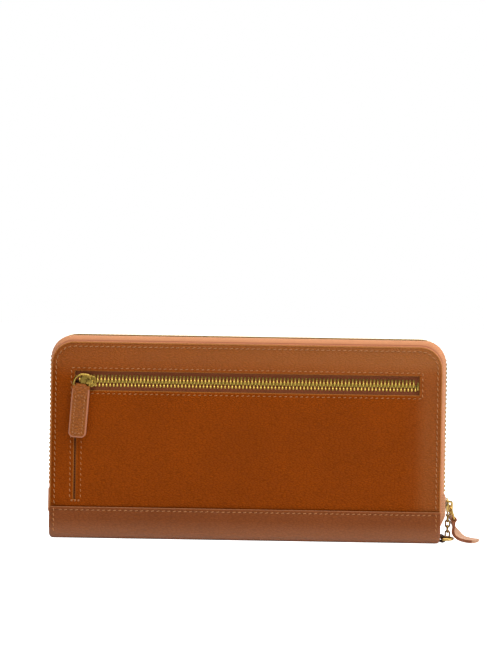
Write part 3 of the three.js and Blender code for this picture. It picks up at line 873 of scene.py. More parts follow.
def stitch(sizes, reach=STITCH_FILL):
    """One stitch lying along X on the XY plane, its ends pulled into the leather."""
    long, wide = sizes.stitch_pitch / MM * reach, sizes.stitch_width / MM
    bpy.ops.object.select_all(action="DESELECT")
    bpy.ops.mesh.primitive_cylinder_add(
        vertices=6, radius=wide / 2 * MM, depth=long * 0.5 * MM, rotation=(0, math.pi / 2, 0)
    )
    piece = fresh("stitch")
    with editing(piece):
        pick(piece, "FACE", lambda p, n: abs(n.x) > 0.9)
        inset(wide * 0.1, long * 0.13)
        inset(wide * 0.18, long * 0.1)
        pick(piece, "VERT", lambda p, n: abs(p.x) > long * 0.3)
        bpy.ops.transform.translate(value=(0, 0, -wide * 0.32 * MM))
        pick(piece, "VERT", lambda p, n: abs(p.x) > long * 0.42)
        bpy.ops.transform.translate(value=(0, 0, -wide * 0.3 * MM))
    return piece


def along_line(points, pitch, lift=0.0):
    """Places for slanting stitches along a line of points on a surface that faces the front."""
    up = -ACROSS
    places = []
    for place, direction in walk(points, pitch):
        x = Matrix.Rotation(STITCH_SLANT, 3, up) @ direction
        y = up.cross(x).normalized()
        turn = Matrix((x, y, up)).transposed().to_4x4()
        places.append(Matrix.Translation((place + up * lift) * MM) @ turn)
    return places


def seam(name, sizes, body, lines, mirror=False, reach=STITCH_FILL, lift=0.05):
    pitch = sizes.stitch_pitch / MM * reach / STITCH_FILL
    places = [m for line in lines for m in along_line(line, pitch, lift)]
    piece = copies(name, stitch(sizes, reach), places)
    if mirror:
        to_back(piece)
    slot = "tan_leather" if "cover" in body else "band_leather"
    return settle(piece, body, "sewing_thread", slot, angle=60)


class WALLET_OT_seams(PieceMaker, bpy.types.Operator):
    """Sew the seams of both covers, the spine wrap and the pocket opening"""

    bl_idname = "wallet.seams"
    bl_label = "Seams"

    def build(self, colours, sizes, stage):
        low, high = box("front_leather")
        inset_by, lip = sizes.seam_inset / MM, sizes.lip_inset / MM
        band_low, band_high = box("front_spine_band")
        half, top = high.x - inset_by, high.z - inset_by
        rim = [(x, low.y + 0.38, z) for x, z in arch(half, band_high.z + 0.7, top, COVER_CORNER - inset_by)]
        side = [[(x, band_low.y, z) for z in (bottom, band_high.z - 0.4)]
                for x, bottom in ((half, 5.5), (-half, 3.2))]
        fold = [(x, band_low.y + 0.06, band_high.z - 1.6) for x in (2 - half, half - 2)]
        for name, mirror in (("front", False), ("back", True)):
            seam(f"{name}_edge_seam", sizes, f"{name}_cover", [rim], mirror=mirror)
            seam(f"{name}_band_seam", sizes, f"{name}_cover", [fold, *side], mirror=mirror)

        y = low.y + 0.1
        x0, x1 = SLIT["x0"] - lip, WINDOW["x1"] + lip
        z0, z1 = WINDOW["z0"] - lip, WINDOW["z1"] + lip
        panel = WINDOW["x0"] + 2.8
        frame_line = [(x0 - 0.2, y, SLIT["z0"] + 0.4), (x0 - 0.2, y, z1), (x1, y, z1), (x1, y, z0)]
        panel_line = [(x1, y, z0), (panel, y, z0), (panel, y, SLIT["z0"] + 0.4)]
        tack = [[(x0, y, SLIT["z0"] - h), (panel, y, SLIT["z0"] - h)] for h in (0.35, 0.85)]
        seam("pocket_frame_seam", sizes, "front_cover", [frame_line])
        seam("pocket_panel_seam", sizes, "front_cover", [panel_line], lift=0.02)
        seam("slit_bar_tack", sizes, "front_cover", tack, reach=0.5, lift=0.08)


def zip_tooth(long, wide, thick):
    """One metal tooth along Y: a clamp at its root, a waist, and a head at +Y with a rounded nose."""
    piece = block("tooth", (-wide / 2, 0, -thick), (wide / 2, long, 0))
    with editing(piece):
        cut_through(piece, ys=(long * 0.26, long * 0.42, long * 0.62))
        pick(piece, "VERT", lambda p, n: abs(p.y - long * 0.42) < 0.05)
        bpy.ops.transform.resize(value=(0.66, 1, 0.62), center_override=(0, 0, -thick / 2 * MM))
        pick(piece, "VERT", lambda p, n: p.y > long * 0.95)
        bpy.ops.transform.resize(value=(0.78, 1, 0.66), center_override=(0, 0, -thick / 2 * MM))
        pick(piece, "VERT", lambda p, n: p.y < 0.01)
        bpy.ops.transform.resize(value=(0.8, 1, 0.75), center_override=(0, 0, -thick / 2 * MM))
        pick(piece, "EDGE", lambda p, d: p.z > -0.3 * thick and abs(d.y) > 0.6)
        bpy.ops.mesh.bevel(offset=wide * 0.16 * MM, segments=1)
    return piece


def tooth_row(name, pattern, line, outward, pitch, phase, root, toward):
    """Copies a tooth along a line; outward gives the way its back faces at each place."""
    places = []
    for place, direction in walk(line, pitch, phase=phase):
        up = outward(direction)
        head = Vector(toward)
        side = head.cross(up)
        turn = Matrix((side, head, up)).transposed().to_4x4()
        places.append(Matrix.Translation((place + head * root) * MM) @ turn)
    return copies(name, pattern, places)


def swell(y):
    """How far the tape has swelled from the cover's edge, 0, to the crest of the zip, 1."""
    return smooth((y - TAPE_EDGE) / (TAPE_CREST - TAPE_EDGE))


def flared(x, z, y):
    """Where a point of the cover's edge goes; near its lower ends the tape narrows and sinks back."""
    crest_half, crest_top = 99.95, 101.85
    narrow = 1 - smooth((z - 22.5) / 3)
    y = TAPE_EDGE + (y - TAPE_EDGE) * (1 - 0.66 * narrow)
    t = swell(y) * smooth((z - 8) / 6)
    wider = 1 + (crest_half / COVER_HALF - 1) * t
    higher = 1 + (crest_top / COVER_TOP - 1) * t * smooth((z - 30) / 40)
    return x * wider + 0.75 * t, y, z * higher


def zip_tape(name):
    line = even(arch(COVER_HALF, 8, COVER_TOP, COVER_CORNER), 180)
    rows = [[flared(x, z, y) for x, z in line]
            for y in (-3.2, -3.6, -4.2, -5, -5.7, -6.4, -7.1, -7.6, -8.0, -8.4, TAPE_EDGE)]
    piece = thicken(cloth(name, rows), 0.65, 0)
    # Painted shadow on the tape next to the binding, darkest at the cover's edge.
    mark(piece, "painted_shade", lambda p: smooth((-6.9 - p.y) / 0.7))
    return piece


def crest_line(bottom):
    return [(x, 0, z) for x, z in arch(CREST_HALF, bottom, CREST_TOP, CREST_CORNER, 0.85)]


class WALLET_OT_main_zip(PieceMaker, bpy.types.Operator):
    """Make the tape and the metal teeth of the zip round the wallet"""

    bl_idname = "wallet.main_zip"
    bl_label = "Main zip"

    def build(self, colours, sizes, stage):
        for name, mirror, phase in (("front", False, 0.25), ("back", True, 0.75)):
            tape = zip_tape(f"{name}_tape")
            line = crest_line(25.4)
            teeth = tooth_row(f"{name}_teeth", zip_tooth(3.4, 1.3, 1.75), line, ACROSS.cross,
                              TOOTH_PITCH, phase, -2.9, ACROSS)
            if mirror:
                to_back(tape)
                to_back(teeth)
            settle(tape, f"{name}_cover", "main_tape_cloth", "orange_tape", f"{name}_zip_tape", angle=60)
            settle(teeth, f"{name}_cover", "zip_brass", "brass", f"{name}_zip_teeth")
        self.end("right", 1, 101.9)
        self.end("left", -1, -100.1)

    def end(self, name, side, crest):
        """The last teeth and the tape's end, which turn in under the spine's corner."""
        line = [(crest, 0, 24), (crest, 0, 13.2), (crest - side * 3.9, 0, 5.6)]
        if side > 0:
            line.reverse()
        rows = []
        for turned in (False, True):
            row = tooth_row("row", zip_tooth(3.3, 1.3, 1.8), line, ACROSS.cross, TOOTH_PITCH,
                            0.75 if turned else 0.25, -2.9, ACROSS)
            rows.append(to_back(row) if turned else row)
        settle(gather(f"{name}_end_teeth", rows), "spine", "zip_brass", "brass", f"{name}_zip_end_teeth")

        skin = crest - side
        path = [(skin, 24), (skin, 13.2), (skin - side * 2.4, 8), (skin - side * 4.8, 3.4),
                (skin - side * 5.6, 3.05), (side * 88, 3.05)]
        strips = []
        for sign in (-1, 1):
            depths = (7.0, 6.4, 5.8, 5.0, 4.1, 3.2)
            ys = [sign * d for d in (depths if sign * side < 0 else depths[::-1])]
            rows = []
            for x, z in even(path, 44):
                sink = [3.65 * (1 - swell(-abs(y))) + 0.95 * smooth((abs(y) - 6.1) / 0.7) for y in ys]
                rows.append([(x - side * dip * smooth((z - 3.4) / 5), y, z) for y, dip in zip(ys, sink)])
            strips.append(thicken(cloth("strip", rows), 0.6, 0))
        settle(gather(f"{name}_end_tape", strips), "spine", "main_tape_cloth", "orange_tape",
               f"{name}_zip_end_tape", angle=60)


def layer(name, node, corner=2.0, roll=0.18):
    """A flat layer in a node's place, its corners rounded and its rims rolled."""
    low, high = box(node)
    piece = block(name, low, high)
    with editing(piece):
        pick(piece, "EDGE", lambda p, d: abs(d.y) > 0.9)
        bpy.ops.mesh.bevel(offset=corner * MM, segments=6)
        bpy.ops.mesh.select_all(action="DESELECT")
        bpy.ops.mesh.edges_select_sharp(sharpness=math.radians(60))
        bpy.ops.mesh.bevel(offset=min(roll, (high.y - low.y) * 0.4) * MM, segments=2)
    return piece


def tape_strip(name, node, below, above):
    """A flat tape facing the front, woven along its length, its edge drawn in behind the teeth."""
    low, high = box(node)
    low.z, high.z = low.z - below, high.z + above
    xs = [low.x + (high.x - low.x) * i / 60 for i in range(61)]
    zs = [low.z + (high.z - low.z) * i / 6 for i in range(7)]
    rows = [[(x, low.y + 0.04 * math.sin(x * 0.35 + z), z) for x in xs] for z in zs]
    return thicken(cloth(name, rows), high.y - low.y - 0.06, 0)


class WALLET_OT_pocket_zip(PieceMaker, bpy.types.Operator):
    """Make the tapes, teeth and linings of the front pocket"""

    bl_idname = "wallet.pocket_zip"
    bl_label = "Pocket zip"

    def build(self, colours, sizes, stage):
        for part in ("upper", "lower"):
            upper = part == "upper"
            below, above = (1.9, 0) if upper else (0, 1.9)
            tape = tape_strip(f"pocket_tape_{part}", f"pocket_zip_tape_{part}", below, above)
            settle(tape, "front_cover", "pocket_tape_cloth", "brown_tape", f"pocket_zip_tape_{part}", angle=60)
            low, high = box(f"pocket_zip_teeth_{part}")
            root = high.z + 1.1 if upper else low.z - 0.4
            line = [(low.x, low.y, root), (high.x, low.y, root)]
            phase = 0.25 if upper else 0.75
            teeth = tooth_row(f"pocket_teeth_{part}", zip_tooth(3.85 if upper else 3.15, 1.1, 1.8), line,
                              lambda d: Vector((0, -1, 0)), POCKET_TOOTH_PITCH, phase, 0,
                              (0, 0, -1 if upper else 1))
            settle(teeth, "front_cover", "zip_brass", "brass", f"pocket_zip_teeth_{part}")
        stop = layer("pocket_end_stop", "pocket_zip_end_stop", 0.3, 0.2)
        settle(stop, "front_cover", "zip_brass", "brass", "pocket_zip_end_stop")
        for node in ("slit_pocket_backing", "pocket_lining_front", "pocket_lining_back"):
            # The backing seen through the slit takes the darker pocket tape cloth, which stands in for the shade inside
            # the slit.
            finish = "pocket_tape_cloth" if node == "slit_pocket_backing" else "lining_cloth"
            settle(layer(f"{node}_cloth", node, 2), "front_cover", finish, "lining", node)


def wire(name, points, radius, closed=True, sides=3):
    """Bends a round wire through the points."""
    piece = outline(name, points, closed)
    alone(piece)
    bpy.ops.object.convert(target="CURVE")
    curve = bpy.context.object.data
    curve.bevel_depth = radius * MM
    curve.bevel_resolution = sides
    curve.use_fill_caps = not closed
    bpy.ops.object.convert(target="MESH")
    piece = fresh(name)
    with editing(piece):
        bpy.ops.mesh.remove_doubles(threshold=1e-6)
    return face_out(piece)


def slider_plate(long, half, w0, w1, rim, nose):
    """A slider's plate in its own place: X is the way it runs, Z is outwards."""
    shape = [(-long / 2, half * 0.62), (-long / 2 + 1.3, half),
             (long / 2 - 2.4, half), (long / 2 - 0.3, half * nose)]
    points = [(x, y, w0) for x, y in shape] + [(x, -y, w0) for x, y in reversed(shape)]
    piece = outline("plate", points[::-1])
    with editing(piece):
        bpy.ops.mesh.edge_face_add()
        bpy.ops.mesh.select_mode(type="VERT")
        bpy.ops.mesh.bevel(offset=0.55 * MM, segments=4, affect="VERTICES")
        bpy.ops.mesh.select_all(action="SELECT")
        extrude(z=w1 - w0 - rim)
        roll_edge(rim, 3)
        inset(0.25)
        bpy.ops.mesh.select_all(action="SELECT")
        bpy.ops.mesh.normals_make_consistent(inside=False)
    return piece


def bent_strip(name, path, half, thickness, rim=0.12):
    """A strip of metal or leather bent along a path in X and Z, centred on Y."""
    rows = [[(x, y, z) for y in (-half, -half * 0.5, 0, half * 0.5, half)] for x, z in path]
    return thicken(cloth(name, rows), thickness, rim)


def slider(name, long, half, outer, inner, place, crown, nose=0.7):
    """A zip slider: two plates joined by a post, side flanges and an arched crown."""
    top = slider_plate(long, half, *outer, 0.28, nose)
    bottom = slider_plate(long, half, *inner, 0.22, nose)
    post = block("post", (long / 2 - 2.6, -0.3, inner[1] - 0.1), (long / 2 - 1.4, 0.3, outer[0] + 0.1))
    with editing(post):
        pick(post, "EDGE", lambda p, d: abs(d.z) > 0.9)
        bpy.ops.mesh.bevel(offset=0.25 * MM, segments=3)
    shells = [top, bottom, post]
    for sign in (-1, 1):
        flange = block("flange", (-long / 2 + 1.6, sign * half - (0.55 if sign > 0 else 0), outer[0] - 0.55),
                       (long / 2 - 2.6, sign * half + (0.55 if sign < 0 else 0), outer[0] + 0.2))
        with editing(flange):
            bpy.ops.mesh.bevel(offset=0.15 * MM, segments=2, affect="EDGES")
        shells.append(flange)
    x0, x1, w1, width, thickness, bottom_w = crown
    path = arc(x1 - 0.9, w1 - 0.9, 0.9, 0, 90, 5) + arc(x0 + 0.9, w1 - 0.9, 0.9, 90, 180, 5)
    path = [(x1 + 0.05, bottom_w)] + path + [(x0 - 0.05, bottom_w)]
    arched = bent_strip("crown", even(path, 26), width / 2, thickness)
    shells.append(face_out(arched))
    return place_mesh(gather(name, shells), place)


def turned_to(origin, along, outward):
    """Matrix that puts a slider's own X along its zip and its own Z outwards."""
    x, z = Vector(along), Vector(outward)
    turn = Matrix((x, z.cross(x), z)).transposed().to_4x4()
    return Matrix.Translation(Vector(origin) * MM) @ turn


class WALLET_OT_pocket_slider(PieceMaker, bpy.types.Operator):
    """Make the pocket's slider and its wire loop"""

    bl_idname = "wallet.pocket_slider"
    bl_label = "Pocket slider"

    def build(self, colours, sizes, stage):
        place = turned_to((-79.5, 0, 78.8), (1, 0, 0), (0, -1, 0))
        piece = slider("pocket_zip_slider", 8, 2.9, (11.1, 11.9), (8.0, 8.6), place,
                       (-1.0, 2.8, 14.9, 2.0, 0.72, 11.6))
        settle(piece, "pocket_slider", "zip_brass", "brass", "pocket_slider")

        points = arc(-0.8, -2.4, 0.8, -90, 0, 4) + arc(-1.8, 1.0, 1.8, 0, 90, 7)
        points += arc(-3.4, -1.8, 4.6, 90, 180, 12) + arc(-7.2, -2.4, 0.8, 180, 270, 4)
        loop = wire("pocket_wire_loop", [(x, 0, z) for x, z in points], 0.58, sides=4)
        settle(place_mesh(loop, PULL_PLACE), "pocket_bail", "zip_brass", "brass", "pocket_bail")


class WALLET_OT_pocket_pull(PieceMaker, bpy.types.Operator):
    """Make the stitched leather pull of the pocket zip"""

    bl_idname = "wallet.pocket_pull"
    bl_label = "Pocket pull"

    def build(self, colours, sizes, stage):
        middle, half, top, bottom, thick = -4.0, 4.4, -2.75, -28.8, 2.6
        piece = upright("pocket_leather_pull", middle - half, middle + half, bottom, top, thick / 2 - 0.5)
        with editing(piece):
            pick(piece, "VERT", lambda p, n: p.z < bottom + 1)
            bpy.ops.mesh.bevel(offset=2.6 * MM, segments=10, affect="VERTICES")
            bpy.ops.mesh.select_all(action="SELECT")
            extrude(y=-(thick - 1.0))
            roll_edge(0.5, 4)
            for width in (0.2, 0.3, 0.6):
                inset(width)
            pick(piece, "FACE", lambda p, n: n.y > 0.9 and p.y > 0)
            roll_edge(0.5, 3)
            inset(0.3)
            cut_through(piece, zs=[top - 1.85 - 2.5 * i for i in range(10)])
            bpy.ops.mesh.select_all(action="SELECT")
            bpy.ops.mesh.normals_make_consistent(inside=False)
        slot = block("slot", (middle - 6, -0.7, -4.1), (middle + 6, 0.7, 0))
        modify(piece, "BOOLEAN", operation="DIFFERENCE", object=slot, solver="EXACT")
        bpy.data.objects.remove(slot)
        path = [(1.28, -5), *arc(0, -3.2, 1.28, 15, 165, 12), (-1.28, -5)]
        rows = [[(x, y, z) for x in (middle + 2.7, middle + 1.4, middle, middle - 1.4, middle - 2.7)]
                for y, z in path]
        fold = face_out(thicken(cloth("fold", rows), 0.56, 0.12))
        piece = gather("pocket_leather_pull", [piece, fold])
        dress(piece, "pull_leather", "burnished_rim")
        for face in piece.data.polygons:
            p = face.center / MM
            inside = min(half - abs(p.x - middle), p.z - bottom)
            corner = math.hypot(max(abs(p.x - middle) - half + 2.6, 0), max(bottom + 2.6 - p.z, 0))
            if p.z < bottom + 2.6 and abs(p.x - middle) > half - 2.6:
                inside = 2.6 - corner
            if inside < 0.7 and p.z < -4.4:
                face.material_index = 1
        place_mesh(piece, PULL_PLACE)
        settle(piece, "pocket_pull", None, "tan_leather", "pocket_pull")

        ring = rounded(middle - half + 2.1, middle + half - 2.1, bottom + 2.1, top - 5.2, 0.5)
        line = [(x, -thick / 2 - 0.02, z) for x, z in ring + ring[:1]]
        places = [PULL_PLACE @ m for m in along_line(line, 1.75)]
        thread = copies("pocket_pull_seam", stitch(sizes, 0.5), places)
        settle(thread, "pocket_pull", "sewing_thread", "tan_leather", angle=60)


class WALLET_OT_main_slider(PieceMaker, bpy.types.Operator):
    """Make the main slider and the wire loop that hangs from it"""

    bl_idname = "wallet.main_slider"
    bl_label = "Main slider"

    def build(self, colours, sizes, stage):
        place = turned_to((0, 0, 18.35), (0, 0, 1), (1, 0, 0))
        piece = slider("main_zip_slider", 7.7, 4.2, (102.7, 103.4), (98.9, 99.9), place,
                       (-3.2, 2.1, 105.9, 2.7, 0.9, 103.1), 0.75)
        ring = wire("lug", [(CHAIN_X + x, 0, CHAIN_TOP + z) for x, z in arc(0, 0, 0.78, 0, 330, 11)], 0.27)
        neck = block("neck", (103.0, -0.3, 13.9), (103.7, 0.3, 15.2))
        with editing(neck):
            bpy.ops.mesh.bevel(offset=0.12 * MM, segments=2, affect="EDGES")
        piece = gather("main_zip_slider", [piece, ring, neck])
        settle(piece, "main_slider", "gold_plate", "gold_metal", "main_slider")

        tilt = Matrix.Translation(Vector((104.2, 0, 18)) * MM) @ Matrix.Rotation(math.radians(-16), 4, "Y")
        loop = wire("main_wire_loop", [(0, y, z) for y, z in rounded(-5, 5, -6.9, 0, 1.7)], 0.62, sides=4)
        settle(place_mesh(loop, tilt), "main_bail", "gold_plate", "gold_metal", "main_bail")


def strap_turn(point):
    """Turns a point of the strap about the upright line through its eye, more and more lower down."""
    turn = math.radians(30 * smooth((-point.z - 2) / 6))
    x, y = point.x, point.y
    return Vector((x * math.cos(turn) + y * math.sin(turn), y * math.cos(turn) - x * math.sin(turn), point.z))


def smooth_line(points, steps=8):
    """A Catmull-Rom line through the points."""
    points = [Vector(p) for p in points]
    padded = [points[0] * 2 - points[1], *points, points[-1] * 2 - points[-2]]
    line = []
    for a, b, c, d in zip(padded, padded[1:], padded[2:], padded[3:]):
        for i in range(steps):
            t = i / steps
            line.append(0.5 * (2 * b + (c - a) * t + (2 * a - 5 * b + 4 * c - d) * t * t
                               + (3 * b - a - 3 * c + d) * t ** 3))
    return line + [points[-1]]


class WALLET_OT_pull_strap(PieceMaker, bpy.types.Operator):
    """Make the folded leather strap of the main zip"""

    bl_idname = "wallet.pull_strap"
    bl_label = "Pull strap"

    def build(self, colours, sizes, stage):
        centre = smooth_line([(0.1, -1.3), (0.2, -3.2), (1.4, -6.4), (4.2, -9.1), (8.6, -10.1), (13.1, -10.15)])
        stations = walk(centre, count=34)
        left = [p + Vector((d.y, -d.x)) * 0.4 for p, d in stations]
        right = [p - Vector((d.y, -d.x)) * 0.4 for p, d in stations]
        eye = [Vector(p) for p in arc(0, 0, 1.2, 248, -68, 20)]
        path = left[::-1] + eye + right
        width = 8.3
        rows = []
        ys = [width * (i / 8 - 0.5) for i in range(9)]
        for point in path:
            at_tip = smooth((point.x - 11.6) / 1.5)
            rows.append([EYE + strap_turn(Vector((point.x, y * (1 - 0.22 * at_tip), point.y))) for y in ys])
        piece = thicken(cloth("pull_strap_leather", rows), 0.72, 0, side=0)
        modify(piece, "BEVEL", width=0.16 * MM, segments=2, limit_method="ANGLE",
               angle_limit=math.radians(60))
        face_out(piece)
        dress(piece, "strap_leather", "strap_rim")
        for face in piece.data.polygons:
            p = face.center / MM - EYE
            flat = min((p - strap_turn(Vector((q.x, 0, q.y)))).length for q in path)
            if flat > width / 2 - 0.35:
                face.material_index = 1
        settle(piece, "pull_strap", None, "strap_leather", "pull_strap")


class WALLET_OT_chain(PieceMaker, bpy.types.Operator):
    """Make the four chain links"""

    bl_idname = "wallet.chain"
    bl_label = "Chain"

    def build(self, colours, sizes, stage):
        for i in range(4):
            ring = [(y, z) for y, z in rounded(-1.05, 1.05, -3.5, 0, 1.04, 6)]
            top = CHAIN_TOP - CHAIN_STEP * i
            if i % 2:
                points = [(CHAIN_X + y, 0, top + z) for y, z in ring]
            else:
                points = [(CHAIN_X, y, top + z) for y, z in ring]
            link = wire(f"gold_link_{i + 1}", points, 0.46, sides=3)
            settle(link, f"chain_link_{i + 1}", "gold_plate", "gold_metal", f"chain_link_{i + 1}")


class WALLET_OT_ring_and_tab(PieceMaker, bpy.types.Operator):
    """Make the ring and the dark leather tab that holds it"""

    bl_idname = "wallet.ring_and_tab"
    bl_label = "Ring and tab"

    def build(self, colours, sizes, stage):
        x, y, z = 99.6, -7.0, 2.35
        reach, half = 6.2 - 0.75, 4.25
        bend = arc(reach - half, 0, half, -85, 85, 20)
        points = [(0, half - 0.3), (0, -half + 0.3), (0.3, -half)] + bend + [(0.3, half)]
        ring = wire("gold_ring", [(x + a, y + b, z) for a, b in points], 0.72, sides=4)
        settle(ring, "d_ring", "gold_plate", "gold_metal", "d_ring")

        path = [(88.4, 1.95), (96.0, 1.95), (98.0, 1.3)] + [
            (x + 1.5 * math.cos(math.radians(a)), z + 1.5 * math.sin(math.radians(a)))
            for a in range(-115, 151, 15)] + [(97.6, 2.75)]
        rows = [[(a, y + w, b) for w in (-2.8, -1.9, 0, 1.9, 2.8)] for a, b in even(path, 44)]
        tab = face_out(thicken(cloth("ring_leather_tab", rows), 0.72, 0.14, side=0))
        settle(tab, "spine", "tab_leather", "dark_leather", "ring_tab")


def slot_panel(name, node, corner=2.0):
    """A card slot: rolled rims and a sunk line under its open top edge, with painted shade along that line."""
    piece = layer(name, node, corner)
    low, high = box(node)
    with editing(piece):
        cut_through(piece, zs=(high.z - 1.9, high.z - 1.6, high.z - 1.3))
    middle = (low.y + high.y) / 2
    # Painted shade along the sunk line.
    mark(piece, "painted_shade", lambda p: 1.0 if abs(p.z - high.z + 1.6) < 0.05 else 0.0)
    for vertex in piece.data.vertices:
        p = vertex.co / MM
        if abs(p.z - high.z + 1.6) < 0.05:
            vertex.co.y += (0.12 if p.y < middle else -0.12) * MM
    return piece


class WALLET_OT_inner_panels(PieceMaker, bpy.types.Operator):
    """Make the linings, the card slots and the note pocket"""

    bl_idname = "wallet.inner_panels"
    bl_label = "Inner panels"

    def build(self, colours, sizes, stage):
        for cover, slots in (("front", 4), ("back", 3)):
            node = f"{cover}_lining"
            settle(layer(f"{node}_cloth", node, 8, 0.15), f"{cover}_cover", "lining_cloth", "lining", node)
            for i in range(1, slots + 1):
                node = f"{cover}_card_slot_{i}"
                settle(slot_panel(f"{node}_leather", node), f"{cover}_cover", "slot_leather", "tan_leather", node)
        settle(slot_panel("back_note_pocket_leather", "back_note_pocket", 3), "back_cover", "slot_leather",
               "tan_leather", "back_note_pocket")


class WALLET_OT_coin_pocket(PieceMaker, bpy.types.Operator):
    """Make the zipped coin pocket in the middle"""

    bl_idname = "wallet.coin_pocket"
    bl_label = "Coin pocket"

    def build(self, colours, sizes, stage):
        for part in ("front", "back"):
            node = f"coin_pocket_wall_{part}"
            settle(layer(f"{node}_cloth", node, 2), "spine", "lining_cloth", "lining", node)
            node = f"coin_zip_tape_{part}"
            settle(layer(f"{node}_cloth", node, 0.3, 0.1), "spine", "pocket_tape_cloth", "brown_tape", node)
            front = part == "front"
            low, high = box(f"coin_zip_teeth_{part}")
            line = [(low.x, 0, high.z), (high.x, 0, high.z)]
            phase = 0.25 if front else 0.75
            teeth = tooth_row(f"coin_teeth_{part}", zip_tooth(3.0, 0.82, 1.8), line,
                              lambda d: Vector((0, 0, 1)), POCKET_TOOTH_PITCH, phase, -2.6,
                              (0, 1 if front else -1, 0))
            settle(teeth, "spine", "zip_brass", "brass", f"coin_zip_teeth_{part}")
        place = turned_to((-80, 0, 86.5), (1, 0, 0), (0, 0, 1))
        piece = slider("coin_zip_slider", 8, 2.6, (2.3, 3.1), (-1.1, -0.3), place,
                       (-1.9, -0.1, 4.6, 1.2, 0.4, 3.0))
        settle(piece, "coin_slider", "zip_brass", "brass", "coin_slider")

        tab = outline("coin_zip_pull", [(x, y, 90.05) for x, y in rounded(-79.6, -73.3, -2.1, 2.1, 1.4)])
        with editing(tab):
            bpy.ops.mesh.edge_face_add()
            extrude(z=0.4)
            roll_edge(0.2, 2)
            inset(0.5, 0)
            inset(0.15, -0.12)
            inset(0.1)
            bpy.ops.mesh.select_all(action="SELECT")
            bpy.ops.mesh.normals_make_consistent(inside=False)
        arms = wire("arms", [(-79.4, -1.5, 90.35), (-81.0, -1.35, 90.35), (-81.0, 1.35, 90.35),
                             (-79.4, 1.5, 90.35)], 0.3, closed=False)
        settle(gather("coin_zip_pull", [tab, arms]), "coin_pull", "zip_brass", "brass", "coin_pull")


class WALLET_OT_gussets(PieceMaker, bpy.types.Operator):
    """Make the four pleated cloth gussets"""

    bl_idname = "wallet.gussets"
    bl_label = "Gussets"

    def build(self, colours, sizes, stage):
        for cover, sign in (("front", -1), ("back", 1)):
            for hand in ("left", "right"):
                node = f"{cover}_gusset_{hand}"
                low, high = box(node)
                middle = (low.x + high.x) / 2
                folds, deep = 12, 2.2
                rows = []
                for j in range(15):
                    z = low.z + (high.z - low.z) * j / 14
                    rows.append([(middle - math.copysign(0.4, middle) + (deep if i % 2 else -deep),
                                  low.y + (high.y - low.y) * i / folds, z) for i in range(folds + 1)])
                piece = face_out(thicken(cloth(f"{node}_cloth", rows), 0.16, 0, side=0))
                near, far = (high.y, low.y) if sign < 0 else (low.y, high.y)
                settle(piece, ("spine", f"{cover}_cover", (0, near * MM, 0.04), (0, far * MM, 0.04)),
                       "lining_cloth", "lining", node, angle=20)


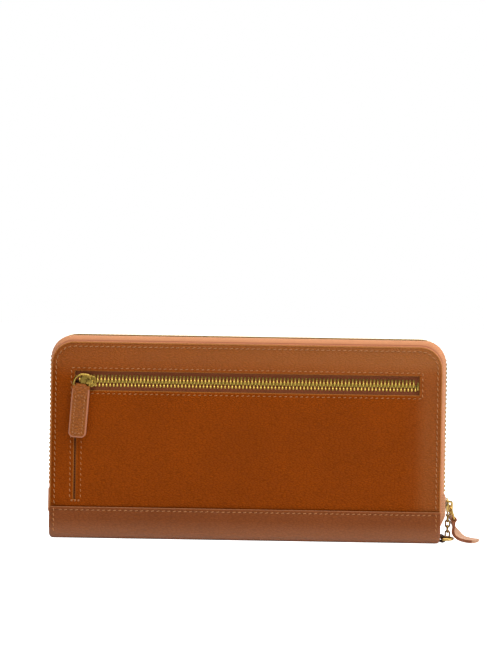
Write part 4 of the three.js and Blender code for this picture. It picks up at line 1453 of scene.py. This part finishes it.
class WALLET_OT_stage(PieceMaker, bpy.types.Operator):
    """Make the camera, the floor and the studio light"""

    bl_idname = "wallet.stage"
    bl_label = "Stage"

    def light(self, name, place, target, size, power):
        direction = (Vector(target) - Vector(place)).to_track_quat("-Z", "Y").to_euler()
        bpy.ops.object.light_add(type="AREA", location=place, rotation=direction)
        lamp = bpy.context.object
        lamp.name = name
        lamp.data.shape = "RECTANGLE"
        lamp.data.size, lamp.data.size_y = size
        lamp.data.energy = power

    def build(self, colours, sizes, stage):
        scene = bpy.context.scene
        face = -0.0115
        turn = (Matrix.Rotation(math.pi / 2, 4, "X") @ Matrix.Rotation(stage.roll, 4, "Z")).to_euler()
        bpy.ops.object.camera_add(location=(-0.0022, face - stage.distance, 0.1083), rotation=turn)
        camera = bpy.context.object
        camera.name = "studio_camera"
        camera.data.sensor_width = 36
        camera.data.lens = 36 * 1400 / 650
        scene.camera = camera

        bpy.ops.mesh.primitive_plane_add(size=120, location=(0, 0, -0.0001))
        floor = bpy.context.object
        floor.name = "studio_floor"
        g, shader = finish_graph("studio_floor_paint")
        clouds = use(g, "slow_tone", Size=0.5)
        g.tree.links.new(g.blend(clouds["Tone"], (0.9, 0.9, 0.9, 1), (0.92, 0.92, 0.92, 1)),
                         shader.inputs["Base Color"])
        shader.inputs["Roughness"].default_value = 0.9
        shader.inputs["Emission Color"].default_value = (1, 1, 1, 1)
        seen = g.add("LightPath").outputs["Is Camera Ray"]
        g.tree.links.new(g.math("MULTIPLY", seen, 1.2), shader.inputs["Emission Strength"])
        floor.data.materials.append(FINISHES["studio_floor_paint"])

        world = bpy.data.worlds.new("studio")
        scene.world = world
        world.use_nodes = True
        w = Graph(world.node_tree)
        fill = world.node_tree.nodes["Background"]
        fill.inputs[0].default_value = (1, 1, 1, 1)
        way = w.add("SeparateXYZ", {0: w.add("TexCoord").outputs["Generated"]}).outputs
        dome = w.math("MULTIPLY", w.span(way[2], 0.0, 0.8, 0.12, 1.0), w.span(way[0], -1.0, 1.0, 0.3, 1.5))
        dome = w.math("MULTIPLY", dome, stage.fill)
        world.node_tree.links.new(dome, fill.inputs[1])
        white = w.add("Background", {0: (1, 1, 1, 1), 1: 1.0})
        mixed = w.add("MixShader", {0: w.add("LightPath").outputs["Is Camera Ray"]})
        world.node_tree.links.new(fill.outputs[0], mixed.inputs[1])
        world.node_tree.links.new(white.outputs[0], mixed.inputs[2])
        world.node_tree.links.new(mixed.outputs[0], world.node_tree.nodes["World Output"].inputs[0])

        self.light("top_light", (0.1, -0.35, 0.95), (0, 0, 0.05), (1.3, 0.8), stage.top_light)
        self.light("side_light", (0.9, -0.4, 0.4), (0, 0, 0.05), (0.5, 0.8), stage.side_light)
        self.light("back_light", (0.0, 0.9, 0.7), (0, 0, 0.05), (1.2, 0.6), stage.top_light * 0.5)
        scene.view_settings.view_transform = "Standard"


OPERATORS = (
    WALLET_OT_stage,
    WALLET_OT_finishes,
    WALLET_OT_cover_leather,
    WALLET_OT_spine_wrap,
    WALLET_OT_edge_binding,
    WALLET_OT_seams,
    WALLET_OT_main_zip,
    WALLET_OT_pocket_zip,
    WALLET_OT_pocket_slider,
    WALLET_OT_pocket_pull,
    WALLET_OT_main_slider,
    WALLET_OT_pull_strap,
    WALLET_OT_chain,
    WALLET_OT_ring_and_tab,
    WALLET_OT_inner_panels,
    WALLET_OT_coin_pocket,
    WALLET_OT_gussets,
)
SETTINGS = {"wallet_colours": WalletColours, "wallet_sizes": WalletSizes, "wallet_stage": WalletStage}


class WALLET_PT_sidebar(bpy.types.Panel):
    """Lists the wallet's settings and pieces"""

    bl_idname = "WALLET_PT_sidebar"
    bl_label = "Zip Around Wallet"
    bl_space_type = "VIEW_3D"
    bl_region_type = "UI"
    bl_category = "Wallet"

    def draw(self, context):
        for name, kind in SETTINGS.items():
            part = self.layout.box()
            for key in kind.__annotations__:
                part.prop(getattr(context.scene, name), key)
        for operator in OPERATORS:
            self.layout.operator(operator.bl_idname)


def register():
    for kind in (*SETTINGS.values(), *OPERATORS, WALLET_PT_sidebar):
        bpy.utils.register_class(kind)
    for name, kind in SETTINGS.items():
        setattr(bpy.types.Scene, name, PointerProperty(type=kind))


def unregister():
    for name in SETTINGS:
        delattr(bpy.types.Scene, name)
    for kind in (WALLET_PT_sidebar, *reversed(OPERATORS), *reversed(SETTINGS.values())):
        bpy.utils.unregister_class(kind)


def main():
    register()
    bpy.ops.wallet.finishes()
    for operator in OPERATORS:
        if operator is not WALLET_OT_finishes:
            getattr(bpy.ops.wallet, operator.bl_idname.split(".")[1])()


if __name__ == "__main__":
    main()
